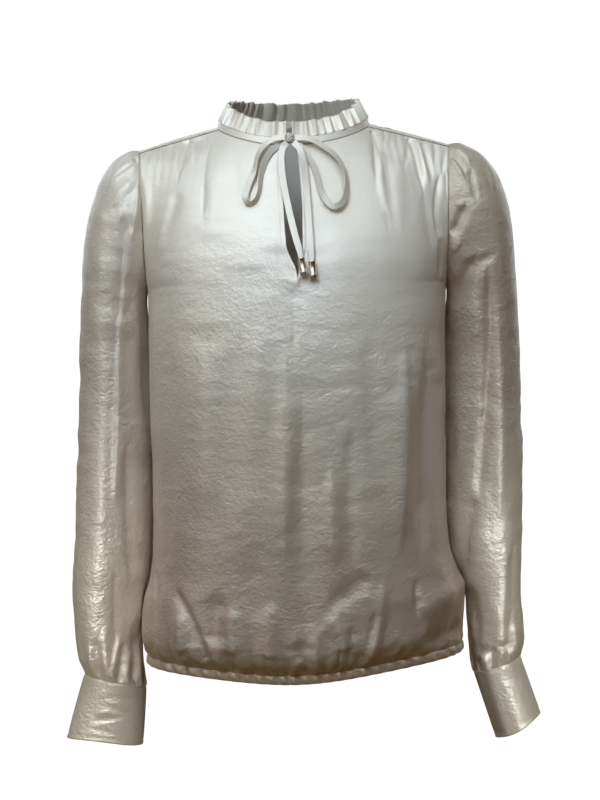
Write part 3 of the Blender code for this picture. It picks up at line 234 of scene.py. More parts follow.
SLEEVE_RIGHT = table(
    SleeveRow,
    (0, 174, 3, -24, 168, 3, -182, 46, 50),
    (1, 185, 3, -23, 169, 4, -185, 50, 53),
    (2, 208.5, 4, -35, 169.8, 7, -191, 54, 55),
    (3, 228.5, 6, -58, 169.6, 12, -199, 56, 56),
    (4, 241.5, 8, -90, 168.8, 18, -210, 57, 56),
    (5, 246, 9, -127, 167.8, 23, -224, 57, 55),
    (6, 248.5, 10, -175, 166.5, 27, -245, 56, 53),
    (7, 250.5, 10, -240, 165.5, 29, -280, 55, 51),
    (8, 250.5, 10, -314, 164.5, 29, -338, 54, 50),
    (9, 251, 10, -392, 164.5, 29, -404, 53, 49),
    (10, 249.5, 11, -450, 167, 29, -452, 53, 49),
    (11, 248, 12, -492, 173, 30, -490, 53, 49),
    (12, 246.5, 13, -525, 184, 31, -524, 53, 49),
    (13, 247, 14, -556, 186, 29, -560, 51, 47),
    (14, 248.5, 15, -585, 187, 24, -597, 47, 45),
    (15, 244, 16, -604, 191, 20, -622, 40, 40),
)
LAST_RING = 15
ARM_BLEND_RINGS = 2.5
SLEEVE_CROWDING = 0.06

# Gathers at the sleeve's head and above its cuff
SLEEVE_HEAD_PLEATS = 4
SLEEVE_HEAD_DEPTH = 0.5
SLEEVE_HEAD_TURNS = (0.02, 0.22)
SLEEVE_HEAD_RINGS = 4.0
SLEEVE_HEAD_FADE = 1.2
SLEEVE_HEAD_AT_SEAM = 0.35
SLEEVE_HEAD_RISE = 0.7
SLEEVE_HEAD_ENDS = (-0.1, 0.1)
SLEEVE_CUFF_FOLDS = 12
SLEEVE_CUFF_DEPTH = 1.0
SLEEVE_CUFF_FIRST_RING = 12.2
SLEEVE_CUFF_FADE = 1.3
SLEEVE_CUFF_CALM_RING = 14.4
SLEEVE_CUFF_AT_SEAM = 0.4
SLEEVE_CUFF_DRIFT = 0.7

# Sleeve creases: place round the arm in turns (0 outside, 0.25 front, 0.75 back), rings, width, depth
CREASE_ENDS = (-0.05, 0.2)
CreaseRow = namedtuple("CreaseRow", "side turn_top ring_top turn_bottom ring_bottom width depth")
SLEEVE_CREASES = table(
    CreaseRow,
    (LEFT, 0.19, 3.0, 0.21, 14.6, 0.050, 1.2),
    (LEFT, 0.74, 3.0, 0.72, 14.0, 0.055, 1.6),
    (RIGHT, 0.18, 3.0, 0.17, 14.4, 0.050, 1.0),
    (RIGHT, 0.76, 3.0, 0.73, 14.0, 0.055, 1.6),
)

# Cuffs: each runs on from the last ring of its sleeve to a lower ring of its own
CuffRow = namedtuple("CuffRow", "side out_x out_y out_z in_x in_y in_z depth")
CUFFS = table(
    CuffRow,
    (LEFT, 273, 17, -686, 187, 21, -697, 24.0),
    (RIGHT, 266, 17, -670, 215, 21, -699, 38.0),
)
CUFF_FLARE = 0.8
CUFF_RIPPLE = 0.9
CUFF_RIPPLES = 3

# Neck band and frill
BAND_HEIGHT = 8.0
BAND_LEAN = 2.0
FRILL_HEIGHT = 19.0
FRILL_LEAN = 11.0
FRILL_WAVES = 42
FRILL_UNEVEN = (Wave(0.25, 7, 2.0),)

# Elasticated hem casing
CASING_HEIGHT = 10.0
CASING_THICKNESS = 5.0
CASING_RUCHES = 60
CASING_RUCHE_DEPTH = 1.44
CASING_RUCHE_SLANT = 0.9
CASING_SET_IN = 0.8
CASING_FLATNESS = 1.15

# Bow: two flat ties knotted over the slit, each with a loop and a tail that ends in a metal tip.
# Routes are the middle lines of the ties: x, y, z, and how far the flat side is twisted from the viewer.
TIP_ROUTE_STEPS = 40
TIE_WIDTH = 7.5
TIE_THICKNESS = 1.4
TIE_END_WIDTH = 5.0
TIE_GATHER_RUN = 0.12
ROUTE_SAMPLES = 24
KNOT_MIDDLE = (-4.4, -73.5, -22.8)
KNOT_HALF = (5.0, 4.6, 5.6)
KNOT_BACK = 12.6
KNOT_FLATNESS = 0.8
KNOT_FULLNESS = 0.7
LOOP_LEFT = (
    (-10.0, -71.5, -21.5, 15),
    (-15.0, -71.5, -21.8, 20),
    (-21.5, -71.5, -22.8, 25),
    (-29.5, -72.0, -27.5, 30),
    (-36.0, -74.5, -35.0, 40),
    (-40.5, -78.5, -45.0, 55),
    (-42.5, -83.0, -55.0, 50),
    (-46.0, -87.0, -65.0, 20),
    (-50.5, -90.5, -75.0, 0),
    (-53.5, -94.0, -85.0, 5),
    (-52.3, -97.5, -93.0, 35),
    (-46.5, -99.0, -95.5, 50),
    (-41.0, -97.5, -89.0, 55),
    (-38.0, -93.0, -79.0, 55),
    (-37.0, -87.5, -67.5, 45),
    (-33.5, -80.0, -53.0, 30),
    (-27.5, -74.6, -40.0, 15),
    (-19.0, -70.2, -32.0, 5),
    (-9.6, -67.3, -27.2, 0),
)
LOOP_RIGHT = (
    (1.2, -71.5, -22.8, -15),
    (10.0, -71.5, -22.5, -20),
    (19.0, -71.5, -24.5, -30),
    (29.0, -72.0, -30.0, -35),
    (39.5, -74.5, -38.0, -40),
    (49.0, -78.5, -48.0, -50),
    (55.0, -84.5, -62.0, -55),
    (56.5, -91.0, -77.0, -50),
    (54.5, -97.5, -91.0, -30),
    (48.5, -101.5, -99.5, -10),
    (41.0, -102.5, -101.0, 0),
    (33.5, -100.0, -94.0, -10),
    (28.0, -95.5, -83.0, -30),
    (25.0, -89.5, -69.0, -35),
    (20.5, -82.0, -54.0, -30),
    (13.5, -74.8, -40.0, -15),
    (6.5, -69.4, -31.0, -5),
    (0.8, -67.3, -27.2, 0),
)
TAIL_LEFT = (
    (-7.0, -74.8, -28.35, 0),
    (-11.8, -76.0, -33.5, 5),
    (-13.8, -79.5, -43.0, 10),
    (-13.9, -84.0, -54.0, 5),
    (-12.6, -91.0, -70.0, 0),
    (-10.0, -98.0, -86.0, 0),
    (-6.9, -104.5, -103.0, 5),
    (-3.7, -109.5, -119.0, 5),
    (0.0, -114.0, -135.0, 0),
    (3.4, -117.5, -148.5, 0),
    (5.0, -119.5, -158.0, 0),
)
TAIL_RIGHT = (
    (-0.5, -74.2, -27.3, 0),
    (5.6, -77.0, -34.0, -5),
    (8.8, -81.0, -43.0, -15),
    (11.0, -85.5, -53.0, -20),
    (12.2, -92.5, -69.0, -15),
    (13.2, -100.0, -88.0, -5),
    (14.0, -106.5, -107.0, 0),
    (14.8, -112.0, -127.0, 5),
    (15.9, -116.5, -146.0, 0),
    (16.7, -119.5, -161.5, 0),
)


class Curve:
    """One column of a table read smoothly against another, with no overshoot between its rows."""

    def __init__(self, rows, key, value):
        rows = sorted(rows, key=lambda row: getattr(row, key))
        self.at = np.array([getattr(row, key) for row in rows], float)
        self.value = np.array([getattr(row, value) for row in rows], float)
        rise = np.diff(self.value) / np.diff(self.at)
        before, after = rise[:-1], rise[1:]
        total = np.where(before * after > 0, before + after, 1.0)
        inside = np.where(before * after > 0, 2 * before * after / total, 0.0)
        self.slope = np.concatenate([rise[:1], inside, rise[-1:]])

    def __call__(self, at):
        at = np.clip(at, self.at[0], self.at[-1])
        row = np.clip(np.searchsorted(self.at, at) - 1, 0, len(self.at) - 2)
        span = self.at[row + 1] - self.at[row]
        leave, arrive = self.slope[row] * span, self.slope[row + 1] * span
        return hermite(self.value[row], self.value[row + 1], leave, arrive, (at - self.at[row]) / span)


def hermite(start, end, leave, arrive, share):
    """The cubic from start to end that leaves and arrives with the two given tangents."""
    s2 = share * share
    s3 = s2 * share
    return (
        (2 * s3 - 3 * s2 + 1) * start
        + (s3 - 2 * s2 + share) * leave
        + (3 * s2 - 2 * s3) * end
        + (s3 - s2) * arrive
    )


def ease(low, high, at):
    """A soft step from 0 at low to 1 at high."""
    share = np.clip((at - low) / (high - low), 0.0, 1.0)
    return share * share * (3 - 2 * share)


def mix(first, second, share):
    return first + (second - first) * share


def waves(rows, at):
    """The sum of a few waves."""
    return sum(row.height * np.sin(row.rate * at + row.phase) for row in rows)


def through(share):
    """Weights of three points on the curve that meets them at the shares 0, a half and 1."""
    return (1 - share) * (1 - 2 * share), 4 * share * (1 - share), share * (2 * share - 1)


def points_of(x, y, z):
    x, y, z = np.broadcast_arrays(x, y, z)
    return np.stack([x, y, z], axis=-1).astype(float)


def unit(vectors):
    return vectors / np.maximum(np.linalg.norm(vectors, axis=-1, keepdims=True), TINY)


HALF_LEFT = Curve(BODY, "height", "half_left")
HALF_RIGHT = Curve(BODY, "height", "half_right")
DEPTH = {
    FRONT: Curve(BODY, "height", "front_depth"),
    BACK: Curve(BODY, "height", "back_depth"),
}
ARM_X = Curve(ARM_LEAN, "height", "x")
SLIT_HALF = Curve(SLIT, "height", "half")
SLIT_MIDDLE = Curve(SLIT, "height", "middle")


def hem_shift(angle, face):
    """How far the hem line lies from its height at the sides."""
    dip = HEM_DIP_FRONT if face == FRONT else HEM_DIP_BACK
    return HEM_TILT * np.sin(angle) - dip * np.cos(angle) ** 2


def body_low(u, height, face):
    """A point of the body below the underarm, u from the left side seam (-1) to the right (1)."""
    angle = u * math.pi / 2
    half = np.where(u < 0, HALF_LEFT(height), HALF_RIGHT(height))
    across = np.abs(np.sin(angle)) / half
    along = np.abs(np.cos(angle)) / DEPTH[face](height)
    reach = (across**SQUARENESS + along**SQUARENESS) ** (-1 / SQUARENESS)
    drop = hem_shift(angle, face) * ease(HEM_SHIFT_TOP_Z, HEM_Z, height)
    return points_of(reach * np.sin(angle), SIDE_Y + face * reach * np.cos(angle), height + drop)


def armhole(turn, face, side):
    """A point of the armhole: turn is 0 at the shoulder and pi at the underarm."""
    depth = ARM_FRONT if face == FRONT else ARM_BACK
    height = ARM_CENTRE_Z + ARM_HALF_HEIGHT * np.cos(turn)
    return points_of(side * ARM_X(height), SIDE_Y + face * depth * np.sin(turn), height)


def neckline(angle):
    """A point of the neckline: angle is 0 at the middle of the back and pi at the front."""
    level = np.cos(angle)
    height = NECK_RISE * level - NECK_SAG * level**2
    x = NECK_HALF_WIDTH * np.sin(angle)
    share = NECK_SHARE * (math.pi - np.abs(angle)) / (math.pi - NECK_EDGE[FRONT])
    return slit_open(points_of(x, NECK_Y + NECK_HALF_DEPTH * level, height), share, np.sign(angle))


def slit_open(points, share, side):
    """Moves points near the middle of the front aside, to leave the keyhole slit."""
    pull = np.clip(1 - share / SLIT_SPREAD, 0, 1) ** 2
    height = points[..., 2]
    moved = points.copy()
    moved[..., 0] += pull * (SLIT_MIDDLE(height) + side * SLIT_HALF(height))
    return moved


# Angle of the neckline, and turn of the armhole, at the two seams of the shoulder strip
NECK_EDGE = {
    FRONT: math.acos((STRIP_FRONT_NECK_Y - NECK_Y) / NECK_HALF_DEPTH),
    BACK: math.acos((STRIP_BACK_NECK_Y - NECK_Y) / NECK_HALF_DEPTH),
}
ARM_EDGE = {
    FRONT: math.asin((SIDE_Y - STRIP_FRONT_ARM_Y) / ARM_FRONT),
    BACK: 0.0,
}


def shoulder_seam(share, face, side):
    """A point of the seam between a shoulder strip and the front or back, 0 at the neck."""
    neck = neckline(side * NECK_EDGE[face])
    arm = armhole(ARM_EDGE[face], face, side)
    return mix(neck, arm, np.asarray(share, float)[..., None])


def seam_inward(face, side):
    """The direction in which the walls go at that seam, the same on both of its pieces."""
    lean = SEAM_LEAN_FRONT if face == FRONT else SEAM_LEAN_BACK
    return -unit(np.array([side * lean[0], lean[1], lean[2]]))


def seam_aside(face, side):
    """The direction from that seam into the front or back, square to the seam and its wall."""
    along = shoulder_seam(1.0, face, side) - shoulder_seam(0.0, face, side)
    across = unit(np.cross(along, seam_inward(face, side)))
    return across * np.sign(across[1]) * face


def body_edge(u, face, side):
    """The top edge of the front or back: the neckline, then the shoulder seam."""
    share = np.abs(u)
    middle = math.pi if face == FRONT else 0.0
    angle = mix(middle, NECK_EDGE[face], np.clip(share / NECK_SHARE, 0, 1))
    neck = neckline(side * np.where(angle == 0, TINY, angle))
    seam = shoulder_seam(np.clip((share - NECK_SHARE) / (1 - NECK_SHARE), 0, 1), face, side)
    return np.where((share <= NECK_SHARE)[..., None], neck, seam)


def leave_direction(u, face, side):
    rows = LEAVE_FRONT if face == FRONT else LEAVE_BACK
    share = np.abs(u)
    x, y, z = (Curve(rows, "share", axis)(share) for axis in ("x", "y", "z"))
    return unit(points_of(side * x, y, z))


def climb(u, rise, face, side):
    """The plain way up from the underarm's level to the top edge."""
    base = body_low(u, UNDERARM_Z, face)
    edge = body_edge(u, face, side)
    if face == FRONT:
        edge[..., 0] = unslit(edge, u, side)
    chord = np.linalg.norm(edge - base, axis=-1, keepdims=True)
    up = unit(base - body_low(u, UNDERARM_Z - UNDERARM_STEP, face))
    leave = leave_direction(u, face, side)
    return hermite(base, edge, up * chord, -leave * chord * LEAVE_REACH, rise)


def body_high(u, rise, face, side):
    """A point of the body above the underarm, rise from 0 there to 1 at the top edge."""
    rise = np.asarray(rise, float)[..., None]
    corner = side * np.ones_like(np.asarray(u, float))
    turn = mix(math.pi, ARM_EDGE[face], rise[..., 0])
    to_arm = armhole(turn, face, side) - climb(corner, rise, face, side)
    point = climb(u, rise, face, side) + to_arm * np.abs(u)[..., None] ** ARM_PULL
    return slit_open(point, np.abs(u), side) if face == FRONT else point


def unslit(edge, u, side):
    """The neckline's x before the slit was opened in it."""
    pull = np.clip(1 - np.abs(u) / SLIT_SPREAD, 0, 1) ** 2
    return edge[..., 0] - pull * (SLIT_MIDDLE(edge[..., 2]) + side * SLIT_HALF(edge[..., 2]))


def body_point(u, level, face, side):
    """A point of the plain body: level is a height below the underarm, and 0 to 1 above it."""
    u = np.asarray(u, float)
    level = np.broadcast_to(np.asarray(level, float), u.shape)
    low = body_low(u, np.minimum(level, UNDERARM_Z), face)
    high = body_high(u, np.clip(level, 0, 1), face, side)
    return np.where((level < 0)[..., None], low, high)


def fold_height(points, u, face, side):
    """How far the gathers and folds stand out of the plain body, in millimetres."""
    height = points[..., 2]
    share = np.abs(u)
    above = height - hem_shift(u * math.pi / 2, face) - HEM_Z
    near_hem = np.clip(1 - above / HEM_FOLD_RUN, 0, 1) ** HEM_FOLD_FADE
    near_hem = near_hem * mix(HEM_FOLD_AT_SEAM, 1.0, ease(0, HEM_FOLD_RISE, above))
    calm = np.clip((1 - share) / SIDE_CALM, 0, 1)
    wave = np.cos(math.pi * HEM_FOLDS * (u + 1) + waves(HEM_FOLD_DRIFT, u))
    out = HEM_FOLD_DEPTH * (1 + waves(HEM_FOLD_UNEVEN, u)) * near_hem * wave * calm

    start = np.clip((share - NECK_SHARE) / (1 - NECK_SHARE), 0, 1)
    below = np.maximum(mix(SHOULDER_SEAM_NECK_Z, SHOULDER_SEAM_ARM_Z, start) - height, 0)
    ends = ease(0.0, SHOULDER_GATHER_ENDS, start) * ease(0.0, SHOULDER_GATHER_ENDS, 1 - start)
    ends = ends * mix(SHOULDER_GATHER_AT_SEAM, 1.0, ease(0, SHOULDER_GATHER_RISE, below))
    for row in SHOULDER_GATHERS:
        if (row.face, row.side) != (face, side):
            continue
        near_seam = np.clip(1 - below / row.run, 0, 1) ** SHOULDER_GATHER_FADE
        ripple = row.lift + row.depth * np.cos(2 * math.pi * row.folds * start)
        fade = mix(1.0, SHOULDER_GATHER_AT_ARM, start) if face == BACK else 1.0
        out = out + near_seam * ends * ripple * fade

    for row in BODY_FOLDS:
        if row.face != face:
            continue
        along = (height - row.z_top) / (row.z_bottom - row.z_top)
        middle = mix(row.u_top, row.u_bottom, np.clip(along, 0, 1))
        away = (u - middle) * HALF_GIRTH / row.width
        length = ease(*FOLD_END_TOP, along) * ease(*FOLD_END_BOTTOM, 1 - along)
        out = out + row.depth * length * np.exp(-away * away) * calm
    return out


def body_normals(u, level, face, side):
    """Outward normals of the plain body, from small steps along it."""
    if level < 0:
        low, high = level - HEIGHT_STEP, level + HEIGHT_STEP
    else:
        low, high = max(level - STEP, 0.0), min(level + STEP, 1.0)
    right, left = np.minimum(u + STEP, 1), np.maximum(u - STEP, -1)
    across = body_point(right, level, face, side) - body_point(left, level, face, side)
    upward = body_point(u, high, face, side) - body_point(u, low, face, side)
    return unit(np.cross(across, upward)) * -face


def body_row(u, level, face, side):
    """One row of one half of the front or back, with its folds, and with a gap at its seams."""
    here = body_point(u, level, face, side)
    normal = body_normals(u, level, face, side)
    at_side = np.abs(u) > 1 - TINY
    gap = SEAM_GAP / 2
    edge = np.zeros_like(here)
    if level <= 0:
        edge[at_side, 1] = face * gap
    if level == HEM_Z:
        normal = unit(normal * np.array([1.0, 1.0, 0.0]))
        edge[:, 2] += gap
    if level >= 0:
        edge[at_side, 0] = -side * gap
    if level == 1:
        at_seam = np.abs(u) >= NECK_SHARE - TINY
        normal[at_seam] = -seam_inward(face, side)
        edge[at_seam] += seam_aside(face, side) * gap
        edge[:, 2] -= np.where(np.abs(u) <= NECK_SHARE + TINY, gap, 0.0)
    return here + normal * fold_height(here, u, face, side)[:, None] + edge


SLEEVES = {LEFT: SLEEVE_LEFT, RIGHT: SLEEVE_RIGHT}
SLEEVE_CURVES = {
    side: {name: Curve(rows, "ring", name) for name in SleeveRow._fields[1:]}
    for side, rows in SLEEVES.items()
}


def sleeve_frame(ring, side):
    """The middle of a ring of the sleeve, and the half axis from there to its outer side."""
    read = SLEEVE_CURVES[side]
    out = points_of(side * read["out_x"](ring), read["out_y"](ring), read["out_z"](ring))
    into = points_of(side * read["in_x"](ring), read["in_y"](ring), read["in_z"](ring))
    return (out + into) / 2, (out - into) / 2


def sleeve_point(turn, ring, side):
    """A point of the plain sleeve: turn 0 is outside, a quarter is front, and ring 0 the armhole."""
    turn = np.asarray(turn, float)
    ring = np.broadcast_to(np.asarray(ring, float), turn.shape)
    angle = 2 * math.pi * turn
    middle, arm = sleeve_frame(ring, side)
    read = SLEEVE_CURVES[side]
    depth = np.where(np.sin(angle) > 0, read["front"](ring), read["back"](ring))
    point = middle + arm * np.cos(angle)[..., None]
    point[..., 1] -= depth * np.sin(angle)
    armhole_row = SLEEVES[side][0]
    plain = mix(armhole_row.in_x, armhole_row.out_x, (1 + np.cos(angle)) / 2)
    height = ARM_CENTRE_Z + ARM_HALF_HEIGHT * np.cos(angle)
    lean = side * (ARM_X(height) - plain)
    point[..., 0] += lean * (1 - ease(0.0, ARM_BLEND_RINGS, ring))
    return point


def turns_between(turn, middle):
    """The signed distance round the arm, in turns."""
    return (turn - middle + 0.5) % 1.0 - 0.5


def sleeve_folds(turn, ring, side):
    """How far pleats, creases and gathers stand out of the plain sleeve."""
    low, high = SLEEVE_HEAD_TURNS
    span = (turn - low) / (high - low)
    behind = ((1 - turn) - low) / (high - low)
    head = np.clip(1 - ring / SLEEVE_HEAD_RINGS, 0, 1) ** SLEEVE_HEAD_FADE
    head = head * mix(SLEEVE_HEAD_AT_SEAM, 1.0, ease(0, SLEEVE_HEAD_RISE, ring))
    out = np.zeros_like(turn)
    for place in (span, behind):
        inside = ease(*SLEEVE_HEAD_ENDS, place) * ease(*SLEEVE_HEAD_ENDS, 1 - place)
        out = out + inside * np.cos(2 * math.pi * SLEEVE_HEAD_PLEATS * place)
    out = out * SLEEVE_HEAD_DEPTH * head
    lowest = (ring - SLEEVE_CUFF_FIRST_RING) / (LAST_RING - SLEEVE_CUFF_FIRST_RING)
    cuff = np.clip(lowest, 0, 1) ** SLEEVE_CUFF_FADE
    cuff = cuff * mix(1.0, SLEEVE_CUFF_AT_SEAM, ease(SLEEVE_CUFF_CALM_RING, LAST_RING, ring))
    drift = SLEEVE_CUFF_DRIFT * np.sin(4 * math.pi * turn + side)
    wave = np.cos(2 * math.pi * SLEEVE_CUFF_FOLDS * turn + drift)
    out = out + SLEEVE_CUFF_DEPTH * cuff * wave
    for row in SLEEVE_CREASES:
        if row.side != side:
            continue
        along = (ring - row.ring_top) / (row.ring_bottom - row.ring_top)
        middle = mix(row.turn_top, row.turn_bottom, np.clip(along, 0, 1))
        away = turns_between(turn, middle) / row.width
        length = ease(*CREASE_ENDS, along) * ease(*CREASE_ENDS, 1 - along)
        out = out + row.depth * length * np.exp(-away * away)
    return out


def sleeve_row(turn, ring, side):
    """One ring of the sleeve, with its folds, and with a gap at its two seams."""
    here = sleeve_point(turn, ring, side)
    around = sleeve_point(turn + STEP, ring, side) - sleeve_point(turn - STEP, ring, side)
    low, high = min(ring + STEP, LAST_RING), max(ring - STEP, 0)
    down = sleeve_point(turn, low, side) - sleeve_point(turn, high, side)
    normal = side * unit(np.cross(around, down))
    gap = SEAM_GAP / 2
    if ring == 0:
        angle = 2 * math.pi * turn
        depth = np.where(np.sin(angle) > 0, ARM_FRONT, ARM_BACK)
        normal = unit(points_of(0.0, -np.sin(angle) / depth, np.cos(angle) / ARM_HALF_HEIGHT))
        here[:, 0] += side * gap
    if ring == LAST_RING:
        axis = cuff_axis(side)
        normal = unit(normal - (normal @ axis)[:, None] * axis)
        here = here - axis * gap
    return here + normal * sleeve_folds(turn, ring, side)[:, None]


def cuff_axis(side):
    """The direction in which the cuff runs on from the sleeve."""
    arm = sleeve_frame(LAST_RING, side)[1]
    return unit(np.array([side * arm[2], 0.0, -abs(arm[0])]))


def cuff_point(turn, share, row):
    """A point of the cuff: share is 0 at the sleeve and 1 at the lower edge."""
    middle, arm = sleeve_frame(LAST_RING, row.side)
    last = SLEEVES[row.side][-1]
    out = np.array([row.side * row.out_x, row.out_y, row.out_z], float)
    into = np.array([row.side * row.in_x, row.in_y, row.in_z], float)
    angle = 2 * math.pi * turn
    start = np.where(np.sin(angle) > 0, last.front, last.back)
    depth = mix(start, row.depth, share**CUFF_FLARE)
    half = mix(arm, (out - into) / 2, share**CUFF_FLARE)
    point = mix(middle, (out + into) / 2, share) + half * np.cos(angle)[:, None]
    point[:, 1] -= depth * np.sin(angle)
    ripple = CUFF_RIPPLE * share * np.cos(CUFF_RIPPLES * angle + row.side)
    return point + cuff_axis(row.side) * ripple[:, None]


def neck_outward(angle):
    """The level direction out of the neck."""
    return unit(points_of(np.sin(angle) / NECK_HALF_WIDTH, np.cos(angle) / NECK_HALF_DEPTH, 0.0))


def collar_point(angle, height):
    """A point of the plain collar, height above the neckline: the band, then the frill."""
    on_band = np.clip(height / BAND_HEIGHT, 0, 1)
    on_frill = np.clip((height - BAND_HEIGHT) / FRILL_HEIGHT, 0, 1)
    lean = BAND_LEAN * on_band + FRILL_LEAN * on_frill
    point = neckline(angle) - neck_outward(angle) * lean
    point[:, 2] += height
    return point


def hem_line(share):
    """A point of the hem line and its outward direction, share 0 at the left side seam."""
    front = share < 0.5
    u = np.where(front, share * 4 - 1, 3 - share * 4)
    points = np.where(front[:, None], *(body_low(u, np.full(u.shape, HEM_Z), face) for face in (FRONT, BACK)))
    ahead = np.roll(points, -1, axis=0) - np.roll(points, 1, axis=0)
    outward = unit(points_of(ahead[:, 1], -ahead[:, 0], 0.0))
    return points, outward


def flowing(points, count):
    """A smooth line through the points, as count + 1 points evenly spaced along it."""
    points = np.asarray(points, float)
    slope = np.gradient(points, axis=0)
    fine = []
    for i in range(len(points) - 1):
        share = np.linspace(0, 1, ROUTE_SAMPLES, endpoint=False)[:, None]
        fine.append(hermite(points[i], points[i + 1], slope[i], slope[i + 1], share))
    fine = np.concatenate(fine + [points[-1:]])
    steps = np.linalg.norm(np.diff(fine[:, :3], axis=0), axis=1)
    length = np.concatenate([[0.0], np.cumsum(steps)])
    even = np.linspace(0, length[-1], count + 1)
    return np.stack([np.interp(even, length, column) for column in fine.T], axis=1)


def tie_frames(line, turn):
    """The direction of the tie's width and of its flat face at each of its points."""
    along = unit(np.gradient(line, axis=0))
    toward = np.array([0.0, -1.0, 0.0])
    face = unit(toward - (along @ toward)[:, None] * along)
    side = np.cross(along, face)
    angle = np.radians(turn)[:, None]
    face = face * np.cos(angle) + side * np.sin(angle)
    return np.cross(along, face), face


# Camera
CAMERA_DISTANCE = 2.3
CAMERA_X = 0.0006
CAMERA_Z = -0.3096
CAMERA_ROLL = 1.3
PIXEL = 0.00113
PICTURE_HEIGHT = 800
SENSOR = 24.0
FARTHEST_SEEN = 30.0


def place_camera():
    data = bpy.data.cameras.new("camera")
    data.sensor_fit = "VERTICAL"
    data.sensor_height = SENSOR
    data.lens = SENSOR * CAMERA_DISTANCE / (PICTURE_HEIGHT * PIXEL)
    data.clip_end = FARTHEST_SEEN
    item = bpy.data.objects.new("camera", data)
    bpy.context.scene.collection.objects.link(item)
    roll = math.radians(CAMERA_ROLL)
    item.matrix_world = Matrix(
        (
            (math.cos(roll), math.sin(roll), 0, CAMERA_X),
            (0, 0, -1, -CAMERA_DISTANCE),
            (-math.sin(roll), math.cos(roll), 0, CAMERA_Z),
            (0, 0, 0, 1),
        )
    )
    bpy.context.scene.camera = item


# Noise and mesh helpers
HASH_X = 374761393
HASH_Y = 668265263
HASH_Z = 2147483647
HASH_SEED = 974634777
HASH_STIR = 1274126177
HASH_MASK = 0xFFFF


def lattice(ix, iy, iz, seed):
    """A fixed value from -1 to 1 at each corner of a grid."""
    n = ix * HASH_X + iy * HASH_Y + iz * HASH_Z + seed * HASH_SEED
    n = (n ^ (n >> 13)) * HASH_STIR
    n = n ^ (n >> 16)
    return (n & HASH_MASK) / (HASH_MASK / 2) - 1.0


def noise(points, cell, seed):
    """Smooth noise from -1 to 1, cell being its size in millimetres along each axis."""
    at = points / np.asarray(cell, float)
    low = np.floor(at).astype(np.int64)
    share = at - low
    share = share * share * (3 - 2 * share)
    total = np.zeros(points.shape[:-1])
    for corner in product((0, 1), repeat=3):
        weight = np.prod(np.abs(1 - np.array(corner) - share), axis=-1)
        total += weight * lattice(*np.moveaxis(low + corner, -1, 0), seed)
    return total


def grid_faces(rows, columns, closed):
    index = np.arange(rows * columns).reshape(rows, columns)
    if closed:
        index = np.concatenate([index, index[:, :1]], axis=1)
    faces = np.stack([index[:-1, :-1], index[:-1, 1:], index[1:, 1:], index[1:, :-1]], axis=-1)
    return faces.reshape(-1, 4)


MERGE = 2e-6


def new_mesh(name, points, faces, material, merge=False):
    mesh = bpy.data.meshes.new(name)
    mesh.from_pydata((np.asarray(points) * MM).tolist(), [], [list(face) for face in faces])
    if merge:
        work = bmesh.new()
        work.from_mesh(mesh)
        bmesh.ops.remove_doubles(work, verts=work.verts, dist=MERGE)
        work.to_mesh(mesh)
        work.free()
    mesh.validate()
    mesh.shade_smooth()
    mesh.materials.append(material)
    item = bpy.data.objects.new(name, mesh)
    bpy.context.scene.collection.objects.link(item)
    return item


def grid_mesh(name, grid, closed, material):
    """A mesh from rows of points, each row closed into a ring or not."""
    grid = np.array(grid)
    return new_mesh(name, grid.reshape(-1, 3), grid_faces(*grid.shape[:2], closed), material)


def thicken(item, thickness):
    """A real thickness for the cloth, laid on its inner side."""
    solid = item.modifiers.new("thickness", "SOLIDIFY")
    solid.thickness = thickness * MM
    solid.offset = -1.0


def sew(item, *nodes, slot="satin"):
    """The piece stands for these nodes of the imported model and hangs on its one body."""
    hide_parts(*nodes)
    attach(item, "root")


# Materials
MIX_FIRST = 6
MIX_SECOND = 7
MIX_RESULT = 2


class Nodes:
    """Short calls for a material's nodes."""

    def __init__(self, name):
        self.material = bpy.data.materials.new(name)
        self.material.use_nodes = True
        self.tree = self.material.node_tree
        self.shader = self.tree.nodes["Principled BSDF"]

    def add(self, kind, **settings):
        node = self.tree.nodes.new(kind)
        for key, value in settings.items():
            setattr(node, key, value)
        return node

    def link(self, output, target):
        self.tree.links.new(output, target)

    def place(self, scale):
        """Object coordinates, scaled for each axis."""
        where = self.add("ShaderNodeTexCoord")
        mapping = self.add("ShaderNodeMapping")
        mapping.inputs["Scale"].default_value = scale
        self.link(where.outputs["Object"], mapping.inputs["Vector"])
        return mapping.outputs["Vector"]

    def noise(self, vector, scale, detail=2.0, distortion=0.0):
        node = self.add("ShaderNodeTexNoise")
        node.inputs["Scale"].default_value = scale
        node.inputs["Detail"].default_value = detail
        node.inputs["Distortion"].default_value = distortion
        self.link(vector, node.inputs["Vector"])
        return node.outputs["Fac"]

    def spread(self, value, low, high, new_low, new_high):
        node = self.add("ShaderNodeMapRange")
        for key, number in zip(("From Min", "From Max", "To Min", "To Max"), (low, high, new_low, new_high)):
            node.inputs[key].default_value = number
        self.link(value, node.inputs["Value"])
        return node.outputs["Result"]

    def blend(self, share, first, second):
        node = self.add("ShaderNodeMix", data_type="RGBA")
        node.inputs[MIX_FIRST].default_value = first
        node.inputs[MIX_SECOND].default_value = second
        self.link(share, node.inputs["Factor"])
        return node.outputs[MIX_RESULT]

    def set(self, **values):
        """The shader's own values, with _ for a space in their names."""
        for key, value in values.items():
            self.shader.inputs[key.replace("_", " ")].default_value = value

    def bump(self, height, distance, strength, before=None):
        node = self.add("ShaderNodeBump")
        node.inputs["Distance"].default_value = distance
        node.inputs["Strength"].default_value = strength
        self.link(height, node.inputs["Height"])
        if before is not None:
            self.link(before.outputs["Normal"], node.inputs["Normal"])
        return node


